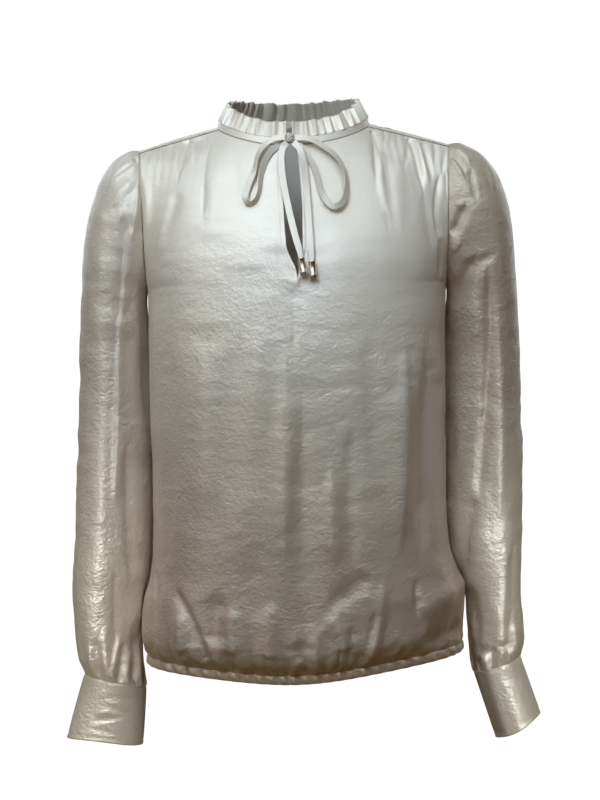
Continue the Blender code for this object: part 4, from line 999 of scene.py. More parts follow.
SATIN_LIGHT = (0.700, 0.603, 0.475)
SATIN_DARK = (0.672, 0.567, 0.430)
SATIN_METALLIC = 0.4
SATIN_SHEEN = 0.10
SATIN_SHEEN_ROUGHNESS = 0.4
SATIN_IOR = 1.65
SATIN_ROUGHNESS = (0.42, 0.50)
CLOUD_SCALE = 14.0
NOISE_MOST = (0.3, 0.7)
NOISE_NEARLY_ALL = (0.25, 0.75)
EVEN = (1.0, 1.0, 1.0)
FLATTENED = (1.0, 1.0, 1.3)

# Over these heights, in metres, the relief weakens up to the taut cloth of the shoulders, which keeps the
# share of it given below
TAUT = (-0.23, -0.13)
TAUT_RIPPLE = 0.35

# The relief of the satin, from broad waves to fine grain: the finer, the more to a metre
Relief = namedtuple("Relief", "name space scale detail distortion distance strength")
SATIN_RELIEF = table(
    Relief,
    ("broad", EVEN, 38.0, 2.0, 0.4, 0.005, 0.26),
    ("middle", FLATTENED, 120.0, 2.0, 0.5, 0.0020, 0.42),
    ("crinkle", FLATTENED, 250.0, 2.5, 0.5, 0.0012, 0.60),
    ("fine", EVEN, 560.0, 2.0, 0.0, 0.0004, 0.5),
)


# painted_light_gain scales the satin's colour: below 1 it makes a darker copy as painted shade, above 1 a
# brighter copy as painted light.
def satin(name, ripple=1.0, painted_light_gain=1.0, taut=TAUT_RIPPLE):
    """Hammered satin: a soft sheen over short crinkles that run mostly across the cloth."""
    n = Nodes(name)
    spaces = {scale: n.place(scale) for scale in (EVEN, FLATTENED)}
    light, dark = ((*[value * painted_light_gain for value in colour], 1) for colour in (SATIN_LIGHT, SATIN_DARK))
    cloud = n.noise(spaces[EVEN], CLOUD_SCALE)
    n.link(n.blend(n.spread(cloud, *NOISE_MOST, 0.0, 1.0), light, dark), n.shader.inputs["Base Color"])
    split = n.add("ShaderNodeSeparateXYZ")
    n.link(spaces[EVEN], split.inputs[0])
    bump = None
    for row in SATIN_RELIEF:
        height = n.noise(spaces[row.space], row.scale, row.detail, row.distortion)
        strength = row.strength * ripple
        bump = n.bump(height, row.distance, strength, bump)
        pull = n.spread(split.outputs["Z"], *TAUT, strength, strength * taut)
        n.link(pull, bump.inputs["Strength"])
        if row.name == "crinkle":
            rough = n.spread(height, *NOISE_NEARLY_ALL, *SATIN_ROUGHNESS)
            n.link(rough, n.shader.inputs["Roughness"])
    n.link(bump.outputs["Normal"], n.shader.inputs["Normal"])
    n.set(Metallic=SATIN_METALLIC, IOR=SATIN_IOR)
    n.set(Sheen_Weight=SATIN_SHEEN, Sheen_Roughness=SATIN_SHEEN_ROUGHNESS)
    return n.material


SCUFF_SCALE = 900.0
SCUFF_RELIEF = (0.0001, 0.2)
METAL_ROUGHNESS = (0.10, 0.24)
METAL_LIGHT = (0.90, 0.84, 0.80, 1)
METAL_DARK = (0.74, 0.66, 0.60, 1)


def tip_metal():
    """Polished rose metal with faint scuffs."""
    n = Nodes("tip_metal")
    spots = n.noise(n.place(EVEN), SCUFF_SCALE, detail=3.0)
    n.link(n.spread(spots, *NOISE_MOST, *METAL_ROUGHNESS), n.shader.inputs["Roughness"])
    n.link(n.blend(spots, METAL_LIGHT, METAL_DARK), n.shader.inputs["Base Color"])
    n.link(n.bump(spots, *SCUFF_RELIEF).outputs["Normal"], n.shader.inputs["Normal"])
    n.set(Metallic=1.0)
    return n.material


# Ties
LOOP_STEPS = 90
TAIL_STEPS = 60
TIE_EDGE_ANGLE = 50.0
TIP_SIDES = 48
TIP_EDGE_ANGLE = 40.0
KNOT_RINGS = 28
KNOT_COLUMNS = 48
KNOT_WRAP_DEPTH = 0.15
KNOT_WRAP_RATE = 11.0
KNOT_WRAP_SLANT = 0.7
KNOT_WRAP_BACK = 0.3


def tie_run(route, count, narrow):
    line = flowing(route, count)
    across, face = tie_frames(line[:, :3], line[:, 3])
    share = np.linspace(0, 1, len(line))
    width = np.full(len(line), TIE_WIDTH)
    if narrow:
        width = mix(TIE_WIDTH, TIE_END_WIDTH, ease(1 - TIE_GATHER_RUN, 1.0, share))
    return line[:, :3], across, face, width


# The section of a tie, thicker along its two sewn edges: shares of its width and thickness
TIE_PROFILE = (
    (0.50, 0.00), (0.47, -0.38), (0.36, -0.50), (0.12, -0.34), (-0.12, -0.34), (-0.36, -0.50), (-0.47, -0.38),
    (-0.50, 0.00), (-0.47, 0.38), (-0.36, 0.50), (-0.12, 0.34), (0.12, 0.34), (0.36, 0.50), (0.47, 0.38),
)


def tie_mesh(runs):
    """One flat tie from its runs: the loop, then the tail, which meet in the knot."""
    points, faces = [], []
    for line, across, face, width in runs:
        start = len(points)
        sides = len(TIE_PROFILE)
        for i in range(len(line)):
            for over, up in TIE_PROFILE:
                points.append(line[i] + across[i] * over * width[i] + face[i] * up * TIE_THICKNESS)
        rings = len(line)
        faces.append([start + k for k in range(sides)][::-1])
        faces.append([start + (rings - 1) * sides + k for k in range(sides)])
        for i in range(rings - 1):
            for k in range(sides):
                a, b = start + i * sides + k, start + i * sides + (k + 1) % sides
                faces.append([a, b, b + sides, a + sides])
    return points, faces


def build_tie(side, loop, tail, cloth, tip):
    word = WORDS[side]
    runs = [tie_run(loop, LOOP_STEPS, False), tie_run(tail, TAIL_STEPS, True)]
    item = new_mesh("tie_" + word, *tie_mesh(runs), cloth)
    item.data.set_sharp_from_angle(angle=math.radians(TIE_EDGE_ANGLE))
    sew(item, "loop_" + word, "tail_" + word)


# The tip's outline, as distances along its axis and radii, from the mouth that takes the tie to its end
TIP_SHAPE = (
    (0.0, 2.9), (0.0, 3.5), (0.35, 4.05), (0.9, 4.2), (1.5, 4.05), (1.9, 3.85), (8.0, 3.85), (14.6, 3.9),
    (15.0, 4.2), (15.8, 4.4), (16.8, 4.4), (17.4, 4.1), (17.4, 3.5), (14.0, 3.2), (13.0, 2.4), (13.0, 0.0),
)


def build_tip(side, route, metal):
    name = "tip_" + WORDS[side]
    line = flowing(route, TIP_ROUTE_STEPS)[:, :3]
    along = unit(line[-1] - line[-3])
    aside = unit(np.cross(along, np.array([0.0, 1.0, 0.0])))
    front = np.cross(along, aside)
    turn = 2 * math.pi * np.arange(TIP_SIDES) / TIP_SIDES
    out = aside * np.cos(turn)[:, None] + front * np.sin(turn)[:, None]
    rings = [line[-1] + along * a + out * r for a, r in TIP_SHAPE]
    item = grid_mesh(name + "_metal", rings, True, metal)
    item.data.set_sharp_from_angle(angle=math.radians(TIP_EDGE_ANGLE))
    sew(item, name, slot="tip_metal")
    return item


def build_knot(cloth):
    middle, half = np.array(KNOT_MIDDLE), np.array(KNOT_HALF)
    lift = (np.pi * np.arange(1, KNOT_RINGS) / KNOT_RINGS)[:, None]
    turn = (2 * np.pi * np.arange(KNOT_COLUMNS) / KNOT_COLUMNS)[None, :]
    level = np.sign(np.cos(lift)) * np.abs(np.cos(lift)) ** KNOT_FLATNESS
    across = np.sin(lift) ** KNOT_FULLNESS
    deep = np.where(np.sin(turn) > 0, KNOT_BACK / KNOT_HALF[1], 1.0)
    x, y, z = np.broadcast_arrays(np.cos(turn) * across, np.sin(turn) * deep * across, level)
    wrap = 1 + KNOT_WRAP_DEPTH * np.cos(KNOT_WRAP_RATE * (x * KNOT_WRAP_SLANT - z)) * (y < KNOT_WRAP_BACK)
    flat = (middle + half * np.stack([x * wrap, y * wrap, z], axis=-1)).reshape(-1, 3)
    ends = [middle + half * np.array([0, 0, end]) for end in (1, -1)]
    faces = grid_faces(KNOT_RINGS - 1, KNOT_COLUMNS, True)[:, ::-1].tolist()
    top, low = len(flat), len(flat) + 1
    last = (KNOT_RINGS - 2) * KNOT_COLUMNS
    for k in range(KNOT_COLUMNS):
        after = (k + 1) % KNOT_COLUMNS
        faces += [[top, k, after], [low, last + after, last + k]]
    item = new_mesh("bow_knot_cloth", np.concatenate([flat, ends]), faces, cloth)
    sew(item, "bow_knot")


# Creases listed one by one, seen from the front: three points down each (x and z), how wide it is on its left
# and on its right, how far it stands out (in below 0), and the shares of its length where it fades
Crease = namedtuple("Crease", "x1 z1 x2 z2 x3 z3 left right depth start end")
CREASE_STEPS = 17
CREASE_REACH = 2.6
FRONT_CREASES = (
    (-117, -14, -124, -34, -130, -75, 4, 5, -3.2, 0.03, 0.5),
    (-129, -74, -135, -101, -145, -122, 6, 7, -1.6, 0.2, 0.5),
    (-146, -111, -149, -133, -154, -157, 5, 6, 1.5, 0.3, 0.4),
    (-137, -15, -137, -21, -138, -29, 1.5, 1.8, -1.2, 0.05, 0.6),
    (-128, -15, -127, -21, -128, -30, 1.5, 1.5, -1.1, 0.05, 0.6),
    (-123, -15, -123, -20, -123, -28, 1.4, 1.4, -1, 0.05, 0.6),
    (-153, -23, -153, -34, -155, -47, 2.2, 2.2, -1.1, 0.05, 0.6),
    (-145, -20, -146, -28, -147, -44, 2, 2.2, -1.2, 0.05, 0.6),
    (-107, -12, -107, -24, -107, -41, 2.5, 2.5, -1, 0.05, 0.6),
    (-98, -10, -98, -19, -99, -32, 2, 2, -0.8, 0.05, 0.6),
    (-163, -28, -164, -38, -164, -49, 2, 2.2, -1, 0.05, 0.6),
    (-139, -19, -139, -31, -141, -44, 6, 6, -1.2, 0.1, 0.4),
    (-105, -13, -104, -24, -105, -39, 6, 6, -1, 0.1, 0.5),
    (-100, -69, -101, -90, -102, -109, 1.3, 5, -0.9, 0.2, 0.4),
    (-103, -116, -116, -128, -130, -136, 4, 5, -0.9, 0.3, 0.4),
    (-88, -31, -88, -73, -93, -118, 9, 9, 0.9, 0.3, 0.4),
    (-68, -33, -64, -79, -62, -125, 10, 8, -0.8, 0.3, 0.5),
    (88, -10, 90, -41, 89, -80, 3.2, 4.2, -2.8, 0.03, 0.4),
    (94, -29, 96, -76, 106, -128, 5, 6, 1.7, 0.15, 0.5),
    (102, -10, 101, -20, 100, -31, 1.8, 1.8, -1.1, 0.05, 0.6),
    (110, -10, 109, -20, 108, -32, 1.8, 1.8, -1.1, 0.05, 0.6),
    (116, -12, 116, -20, 113, -31, 1.8, 1.8, -0.8, 0.05, 0.6),
    (124, -15, 127, -33, 119, -61, 3.2, 3.5, -1.5, 0.05, 0.4),
    (129, -17, 136, -41, 143, -89, 3.3, 3.6, -3.6, 0.03, 0.3),
    (142, -81, 146, -121, 151, -157, 6, 6, -1.7, 0.25, 0.4),
    (138, -21, 144, -52, 150, -81, 3.5, 4, 1.4, 0.1, 0.4),
    (143, -24, 149, -51, 154, -70, 2.4, 4, -1.5, 0.05, 0.4),
    (158, -26, 158, -39, 154, -54, 2.6, 2.6, -1.2, 0.05, 0.5),
    (116, -36, 113, -82, 117, -141, 8, 8, 1.1, 0.3, 0.4),
    (163, -58, 155, -98, 159, -139, 2, 4.5, -2, 0.25, 0.2),
    (159, -132, 160, -154, 158, -180, 3, 4, -1.5, 0.2, 0.3),
    (169, -59, 169, -80, 170, -105, 1.5, 1.8, -1, 0.2, 0.3),
    (174, -28, 167, -46, 164, -65, 2.5, 2.5, -0.9, 0.1, 0.4),
    (-169, -56, -164, -91, -169, -139, 4, 4, 1.8, 0.2, 0.3),
    (-23, -137, -13, -163, 1, -183, 4, 5, -0.9, 0.3, 0.2),
    (1, -183, 17, -188, 35, -194, 6, 9, -0.7, 0.1, 0.6),
    (-1, -185, -4, -224, -4, -275, 7, 7, -0.9, 0.15, 0.5),
    (-14, -236, -16, -363, -21, -496, 10, 11, 1.9, 0.45, 0.35),
    (4, -280, 1, -440, 0, -588, 12, 13, -2.6, 0.45, 0.15),
    (32, -375, 32, -439, 35, -500, 8, 10, 1.8, 0.3, 0.3),
    (56, -332, 52, -418, 56, -514, 9, 10, -1.2, 0.3, 0.3),
    (115, -236, 111, -360, 106, -491, 14, 9, 2.4, 0.45, 0.3),
    (142, -216, 138, -350, 130, -499, 11, 13, -3.4, 0.5, 0.25),
    (-61, -233, -73, -330, -72, -458, 16, 14, -1.2, 0.3, 0.3),
    (-106, -243, -102, -340, -116, -480, 14, 12, 1.2, 0.3, 0.3),
    (-38, -201, -44, -288, -42, -384, 12, 12, 1, 0.3, 0.4),
    (-142, -230, -140, -339, -150, -482, 9, 10, -1, 0.3, 0.3),
    (77, -225, 78, -312, 79, -397, 12, 12, -1, 0.3, 0.4),
    (-146, -507, -124, -549, -106, -591, 5, 3, -2.4, 0.2, 0.05),
    (-160, -489, -146, -514, -131, -536, 6, 6, -1, 0.3, 0.3),
    (-94, -510, -98, -542, -100, -574, 9, 9, -2.8, 0.3, 0.2),
    (-140, -530, -138, -557, -135, -585, 6, 6, 2.2, 0.3, 0.15),
    (-124, -566, -120, -583, -116, -598, 4, 4, 1.7, 0.3, 0.1),
    (-84, -529, -81, -554, -78, -585, 8, 8, 2.4, 0.3, 0.15),
    (-56, -475, -55, -512, -45, -551, 10, 10, -1.1, 0.3, 0.3),
    (-36, -522, -35, -554, -40, -589, 8, 8, 1.3, 0.3, 0.1),
    (74, -498, 52, -514, 21, -536, 8, 8, -2.4, 0.25, 0.3),
    (19, -539, 36, -558, 45, -583, 8, 7, 2.2, 0.3, 0.15),
    (52, -548, 50, -573, 48, -594, 4, 4, -1.6, 0.3, 0.05),
    (80, -532, 73, -563, 61, -598, 4, 3, -2, 0.3, 0.05),
    (89, -497, 82, -547, 68, -594, 6, 5, 1.7, 0.3, 0.1),
    (104, -568, 93, -586, 85, -603, 4, 4, -1.5, 0.3, 0.1),
    (123, -542, 148, -535, 178, -525, 10, 9, 2.8, 0.3, 0.2),
    (124, -575, 153, -572, 182, -564, 9, 8, -3.4, 0.3, 0.2),
    (94, -595, 125, -588, 167, -579, 6, 5, -1.8, 0.2, 0.2),
    (124, -505, 124, -529, 126, -553, 1.6, 2.5, -1.3, 0.2, 0.3),
    (-5, -566, -5, -582, -6, -602, 10, 10, -2, 0.4, 0.02),
    (-6, -587, -6, -594, -5, -603, 4, 4, 2.4, 0.4, 0.02),
    (-167, -490, -166, -527, -166, -581, 1.6, 2.2, -1.6, 0.2, 0.1),
    (-175, -508, -176, -539, -172, -583, 5, 4, 2.2, 0.3, 0.1),
)
BACK_CREASES = (
    (-98, -6, -101, -22, -104, -52, 3.5, 3, -2.0, 0.04, 0.5),
    (-108, -8, -110, -20, -110, -38, 2, 2, -1.2, 0.05, 0.6),
    (-117, -9, -121, -34, -128, -90, 4, 4.5, -2.8, 0.03, 0.5),
    (-127, -11, -128, -22, -127, -36, 2, 1.8, -1.1, 0.05, 0.6),
    (-136, -14, -139, -30, -144, -62, 2.5, 3, -1.5, 0.05, 0.5),
    (-147, -17, -148, -28, -149, -45, 2, 2.4, -1.0, 0.05, 0.6),
    (-157, -21, -158, -34, -160, -60, 2.5, 2.5, -1.2, 0.05, 0.5),
    (94, -6, 95, -20, 95, -44, 2.5, 3, -1.4, 0.05, 0.6),
    (104, -8, 108, -34, 114, -84, 4, 4, -2.4, 0.03, 0.5),
    (118, -10, 119, -22, 118, -38, 2, 2, -1.0, 0.05, 0.6),
    (129, -13, 135, -42, 141, -104, 4, 4, -3.0, 0.03, 0.5),
    (143, -17, 145, -32, 146, -58, 2.4, 2.6, -1.3, 0.05, 0.5),
    (155, -21, 156, -34, 156, -56, 2, 2.4, -1.0, 0.05, 0.6),
    (-128, -86, -133, -150, -136, -230, 8, 7, -1.6, 0.25, 0.5),
    (141, -98, 146, -170, 150, -260, 7, 8, -1.7, 0.25, 0.5),
    (-86, -60, -80, -150, -84, -260, 14, 12, 1.3, 0.3, 0.5),
    (70, -70, 62, -170, 66, -300, 13, 15, 1.2, 0.3, 0.5),
    (-30, -120, -36, -260, -34, -420, 14, 12, -1.1, 0.3, 0.4),
    (22, -190, 26, -330, 20, -500, 12, 14, 1.5, 0.3, 0.3),
    (-132, -220, -136, -340, -140, -490, 8, 14, -3.0, 0.3, 0.3),
    (-104, -260, -108, -380, -104, -510, 12, 6, 2.4, 0.3, 0.3),
    (118, -240, 122, -370, 126, -500, 14, 8, -2.8, 0.3, 0.3),
    (88, -280, 92, -400, 90, -520, 7, 12, 2.2, 0.3, 0.3),
    (-64, -360, -60, -450, -66, -560, 9, 10, -1.6, 0.3, 0.2),
    (-6, -400, -10, -490, -4, -590, 10, 11, -2.6, 0.3, 0.1),
    (52, -430, 50, -510, 44, -590, 9, 8, -1.8, 0.3, 0.1),
    (-150, -500, -132, -545, -112, -592, 5, 3.5, -2.4, 0.2, 0.05),
    (144, -506, 128, -548, 104, -592, 4, 5, -2.3, 0.2, 0.05),
    (-96, -520, -94, -552, -90, -582, 8, 8, 2.2, 0.3, 0.15),
    (-60, -540, -56, -566, -54, -590, 6, 6, 1.8, 0.3, 0.1),
    (-30, -516, -34, -550, -32, -584, 9, 8, 2.0, 0.3, 0.15),
    (18, -530, 22, -560, 20, -590, 7, 8, 2.2, 0.3, 0.1),
    (70, -524, 74, -556, 70, -586, 8, 8, 2.3, 0.3, 0.15),
    (92, -556, 88, -574, 86, -594, 4, 4, -1.8, 0.3, 0.05),
    (132, -560, 150, -566, 168, -562, 8, 7, -2.6, 0.3, 0.3),
    (-168, -560, -150, -570, -130, -572, 7, 7, -2.2, 0.3, 0.3),
)
LEFT_SLEEVE_CREASES = (
    (-174, -35, -189, -47, -206, -59, 2, 2.6, -1.9, 0.03, 0.4),
    (-174, -27, -197, -37, -213, -77, 1.8, 2.6, -1.6, 0.03, 0.4),
    (-176, -37, -192, -51, -210, -71, 4, 3, 1, 0.1, 0.4),
    (-178, -59, -196, -79, -215, -98, 6, 5, 1.2, 0.2, 0.4),
    (-190, -90, -206, -97, -212, -107, 6, 6, -1.2, 0.3, 0.4),
    (-173, -61, -175, -91, -182, -128, 2.6, 5, 2.2, 0.15, 0.2),
    (-182, -113, -188, -153, -196, -215, 2.6, 7, 2.6, 0.15, 0.12),
    (-195, -200, -200, -260, -202, -317, 3, 8, 2.8, 0.15, 0.12),
    (-202, -300, -204, -361, -210, -429, 4, 8, 2.6, 0.15, 0.3),
    (-209, -484, -212, -529, -212, -585, 2.2, 4, -1.6, 0.3, 0.3),
    (-184, -84, -193, -183, -194, -328, 7, 9, -1.6, 0.2, 0.3),
    (-171, -150, -172, -237, -171, -374, 5, 8, -2.6, 0.3, 0.3),
    (-193, -339, -195, -428, -192, -531, 5, 10, -3.2, 0.3, 0.3),
    (-222, -126, -230, -249, -235, -382, 12, 10, -1, 0.3, 0.3),
    (-218, -327, -224, -416, -233, -516, 10, 10, 1, 0.3, 0.3),
    (-176, -507, -187, -539, -191, -577, 5, 5, 2, 0.3, 0.3),
    (-233, -568, -232, -590, -231, -621, 3, 3, -1.8, 0.3, 0.02),
    (-220, -539, -222, -584, -222, -623, 4, 4, 1.8, 0.4, 0.02),
    (-206, -564, -212, -595, -219, -625, 3, 3.5, 2.4, 0.3, 0.02),
    (-203, -574, -207, -599, -211, -626, 3, 4, -2.4, 0.3, 0.02),
    (-192, -543, -193, -588, -195, -627, 3, 4, -1.8, 0.3, 0.02),
    (-187, -573, -189, -599, -191, -624, 2.6, 3, 2, 0.3, 0.02),
    (-242, -573, -241, -596, -239, -619, 3, 3, 1.5, 0.3, 0.02),
    (-198, -575, -200, -600, -202, -629, 3, 3, 1.6, 0.3, 0.02),
)
LEFT_SLEEVE_BACK_CREASES = (
    (-176, -34, -190, -46, -207, -62, 2.2, 2.6, -1.6, 0.04, 0.4),
    (-175, -42, -186, -62, -196, -92, 3, 3, -1.3, 0.06, 0.4),
    (-174, -52, -180, -84, -184, -124, 3, 4, 1.4, 0.1, 0.4),
    (-188, -110, -198, -190, -206, -300, 4, 8, -2.4, 0.2, 0.3),
    (-206, -280, -214, -380, -218, -500, 8, 5, 2.4, 0.2, 0.3),
    (-232, -150, -238, -270, -240, -400, 8, 6, -1.4, 0.3, 0.3),
    (-182, -190, -186, -300, -188, -430, 6, 8, -2.2, 0.3, 0.3),
    (-240, -430, -236, -500, -238, -580, 6, 7, -1.8, 0.3, 0.2),
    (-226, -540, -224, -584, -222, -622, 4, 4, 2.0, 0.3, 0.02),
    (-208, -556, -208, -590, -209, -624, 3, 4, -2.2, 0.3, 0.02),
    (-194, -550, -194, -592, -196, -626, 4, 3, 1.8, 0.3, 0.02),
)
RIGHT_SLEEVE_CREASES = (
    (171, -32, 188, -38, 197, -53, 2.6, 3, 1.6, 0.08, 0.3),
    (171, -37, 182, -49, 191, -66, 2.4, 3, -1.4, 0.08, 0.3),
    (173, -44, 182, -55, 190, -76, 3.5, 3.5, 1.5, 0.1, 0.4),
    (195, -34, 212, -55, 219, -88, 4, 5, -1.2, 0.2, 0.4),
    (208, -35, 219, -59, 226, -91, 5, 5, 1, 0.2, 0.4),
    (196, -54, 198, -77, 204, -99, 4, 4, -1, 0.2, 0.4),
    (190, -96, 182, -115, 174, -134, 6, 5, -3.6, 0.25, 0.2),
    (184, -136, 177, -143, 171, -148, 4, 4, 1.6, 0.3, 0.3),
    (226, -151, 206, -159, 188, -173, 5, 6, -1.6, 0.3, 0.3),
    (202, -148, 185, -183, 176, -217, 7, 8, -4, 0.3, 0.35),
    (193, -194, 199, -225, 194, -258, 8, 6, 1.8, 0.3, 0.4),
    (211, -161, 214, -237, 206, -337, 6, 5, -4.4, 0.3, 0.12),
    (208, -319, 203, -376, 196, -427, 7, 6, -4, 0.12, 0.25),
    (197, -424, 184, -460, 184, -526, 8, 6, -3, 0.2, 0.3),
    (224, -226, 222, -348, 219, -454, 9, 9, 3, 0.3, 0.3),
    (203, -439, 196, -493, 197, -550, 10, 10, 2.2, 0.3, 0.3),
    (184, -235, 178, -314, 180, -370, 8, 7, 1.6, 0.3, 0.3),
    (186, -336, 180, -359, 175, -383, 3, 3, 1.2, 0.3, 0.3),
    (236, -466, 232, -532, 227, -600, 4, 5, -2.6, 0.3, 0.1),
    (190, -517, 191, -546, 197, -578, 3, 4, -2, 0.3, 0.3),
    (204, -532, 218, -558, 223, -592, 8, 8, 1.6, 0.3, 0.2),
    (195, -585, 207, -597, 229, -583, 4, 4, -2, 0.25, 0.2),
    (197, -597, 200, -608, 200, -620, 3, 3, 1.8, 0.2, 0.02),
    (188, -575, 189, -597, 195, -621, 3, 3, -1.6, 0.3, 0.02),
    (211, -588, 209, -603, 211, -617, 3, 3, -1.8, 0.3, 0.02),
    (221, -589, 221, -601, 224, -611, 3, 3, 1.6, 0.3, 0.02),
    (234, -560, 237, -583, 237, -608, 4, 3, 1.6, 0.3, 0.02),
)
RIGHT_SLEEVE_BACK_CREASES = (
    (173, -32, 188, -42, 204, -58, 2.4, 2.8, -1.7, 0.04, 0.4),
    (173, -44, 184, -64, 193, -96, 3, 3, 1.3, 0.06, 0.4),
    (174, -56, 180, -90, 182, -130, 3.5, 3, -1.5, 0.1, 0.4),
    (212, -60, 228, -96, 236, -150, 4, 5, -1.2, 0.2, 0.4),
    (186, -120, 196, -200, 204, -310, 8, 5, -2.8, 0.2, 0.3),
    (204, -290, 206, -390, 202, -500, 5, 8, -2.4, 0.2, 0.3),
    (226, -180, 230, -300, 226, -430, 8, 9, 2.0, 0.3, 0.3),
    (182, -260, 180, -350, 186, -450, 7, 6, 1.5, 0.3, 0.3),
    (232, -450, 228, -520, 230, -590, 5, 6, -2.0, 0.3, 0.2),
    (206, -530, 210, -574, 212, -612, 6, 5, 2.0, 0.3, 0.02),
    (196, -560, 198, -590, 200, -618, 3, 3, -1.8, 0.3, 0.02),
    (222, -556, 222, -584, 222, -612, 3, 4, -1.8, 0.3, 0.02),
)
LEFT_CUFF_CREASES = (
    (-232, -637, -210, -641, -184, -644, 2.5, 3, -0.7, 0.3, 0.3),
    (-227, -645, -210, -655, -190, -660, 2.5, 2.5, -1, 0.3, 0.3),
    (-246, -668, -226, -664, -199, -662, 2.2, 3, -1.3, 0.3, 0.3),
    (-249, -674, -233, -676, -216, -683, 2.5, 2.5, -0.9, 0.3, 0.3),
    (-202, -674, -196, -678, -188, -692, 3, 3, 0.9, 0.3, 0.3),
    (-237, -655, -222, -658, -204, -663, 3, 3, 0.8, 0.3, 0.3),
)
RIGHT_CUFF_CREASES = (
    (206, -617, 215, -656, 227, -694, 3.5, 3.5, 1.5, 0.05, 0.05),
    (197, -621, 206, -658, 217, -695, 3, 3, -1.3, 0.05, 0.05),
    (226, -615, 237, -646, 248, -683, 6, 6, -0.8, 0.1, 0.1),
    (218, -623, 231, -629, 249, -627, 3, 3, -0.5, 0.3, 0.3),
)

# Short puckers next to a gathered seam: how many, how long and deep at most, and their seed
Puckers = namedtuple("Puckers", "count length depth width seed")
HEM_PUCKERS = {FRONT: Puckers(41, 52.0, 3.2, 3.6, 11), BACK: Puckers(38, 50.0, 3.0, 3.8, 12)}
CUFF_PUCKERS = {LEFT: Puckers(27, 34.0, 2.0, 3.0, 13), RIGHT: Puckers(28, 32.0, 2.0, 3.0, 14)}
PUCKER_JITTER = 0.36
SEAM_DIP = 0.7
SEAM_DIP_WIDTH = 1.6
SLIT_STITCH = 3.6
SLIT_STITCH_DEPTH = 0.35
SLIT_STITCH_WIDTH = 0.8
SLIT_STITCH_FROM = (0.4, 2.0)
PUCKER_LEAST = 0.65
PUCKER_SPREAD = 0.35
PUCKER_FADE = 1.5

# Wrinkles: their size along each axis, their seed and their share of the whole
WRINKLES = (((52, 52, 20), 3, 0.55), ((24, 24, 9), 5, 0.25))

# How the listed creases are widened and deepened, from the hem up to the shoulders

CREASE_TAPER = 0.25
CREASE_GAIN_HEM = 1.6
CREASE_GAIN_LOW = 2.2
CREASE_GAIN_HIGH = 1.1
CREASE_WIDER = 1.4
CREASE_GAIN_SLEEVE = 1.35
CREASE_GAIN_Z = (-260.0, -200.0)
CREASE_GAIN_HEM_Z = (-520.0, -455.0)
CREASE_FACING = (0.02, 0.45)


def crease_heights(points, facing, rows):
    """How far the listed creases lift the cloth. Facing is 1 where it faces their side squarely."""
    x, z = points[..., 0], points[..., 2]
    out = np.zeros(x.shape)
    share = np.linspace(0, 1, CREASE_STEPS)
    weights = np.stack(through(share), axis=1)
    for values in rows:
        row = Crease(*values)
        line = weights @ np.array(values[:6], float).reshape(3, 2)
        reach = CREASE_REACH * CREASE_WIDER * max(row.left, row.right)
        low, high = line.min(axis=0) - reach, line.max(axis=0) + reach
        near = (x > low[0]) & (x < high[0]) & (z > low[1]) & (z < high[1]) & (facing > 0)
        px, pz = x[near], z[near]
        best = np.full(px.shape, np.inf)
        along, side = np.zeros(px.shape), np.zeros(px.shape)
        for i in range(len(line) - 1):
            dx, dz = line[i + 1] - line[i]
            step = np.clip(((px - line[i][0]) * dx + (pz - line[i][1]) * dz) / (dx * dx + dz * dz), 0, 1)
            ox, oz = px - line[i][0] - step * dx, pz - line[i][1] - step * dz
            away = np.hypot(ox, oz)
            closer = away < best
            best = np.where(closer, away, best)
            along = np.where(closer, (i + step) / (len(line) - 1), along)
            side = np.where(closer, ox * dz - oz * dx, side)
        fade = ease(0, row.start, along) * ease(0, row.end, 1 - along)
        width = np.where(side > 0, row.left, row.right) * mix(CREASE_TAPER, 1.0, fade)
        width = width * mix(CREASE_WIDER, 1.0, ease(*CREASE_GAIN_HEM_Z, pz))
        out[near] += row.depth * np.exp(-((best / width) ** 2)) * fade
    return out * facing


def puckers(place, above, span, rows):
    """Short uneven gathers above a seam: place runs from 0 to 1 along it, and span is its length."""
    out = np.zeros(np.broadcast(place, above).shape)
    for i in range(rows.count):
        at = (i + 0.5 + PUCKER_JITTER * lattice(i, 0, 0, rows.seed)) / rows.count
        width = rows.width * (1 + PUCKER_SPREAD * lattice(i, 1, 0, rows.seed)) / span
        length = rows.length * (PUCKER_LEAST + PUCKER_SPREAD * lattice(i, 2, 0, rows.seed))
        depth = rows.depth * (PUCKER_LEAST + PUCKER_SPREAD * lattice(i, 3, 0, rows.seed))
        depth = depth * (1 if i % 2 else -1)
        fade = np.clip(1 - above / length, 0, 1) ** PUCKER_FADE
        out += depth * fade * np.exp(-(((place - at) / width) ** 2))
    return out


def seam_dip(distance):
    """The soft groove where two pieces are sewn together."""
    return -SEAM_DIP * np.exp(-((distance / SEAM_DIP_WIDTH) ** 2))


def crumple(points, amount):
    """Small soft wrinkles that run mostly across the cloth."""
    return amount * sum(noise(points, size, seed) * share for size, seed, share in WRINKLES)


# The grid of one half of the front or back: its columns, and its rows below and above the underarm's level
FRONT_GRID = (168, 180, 92)
BACK_GRID = (120, 150, 72)
COLUMN_CROWDING = 0.45
TOP_CHORD = 170.0

# Where the lifts of the body fade: near the hem (millimetres), the side seams and the top edge (shares)
SIDE_FADE = 0.025
TOP_FADE = 0.03
LEFT_AT_HEM = 0.05
CREASE_HEM_FADE = 14.0
PUCKER_HEM_FADE = 7.0
CRUMPLE_HEM_FADE = 25.0
SAG_HEM_FADE = 45.0
SAG_TOP_FADE = 0.2
BODY_CRUMPLE = 1.5
CRUMPLE_SIDE_POWER = 12
SAG_SIDE_POWER = 4

# A soft swell and a soft hollow of the front: height, reach and how far each stands out
FRONT_SAG = ((-290.0, 70.0, 3.0), (-535.0, 78.0, -6.0))


def body_levels(low_rows, high_rows):
    low = np.linspace(HEM_Z, UNDERARM_Z, low_rows, endpoint=False)
    high = np.linspace(0.0, 1.0, high_rows)
    return [float(z) for z in low] + [float(r) for r in high]


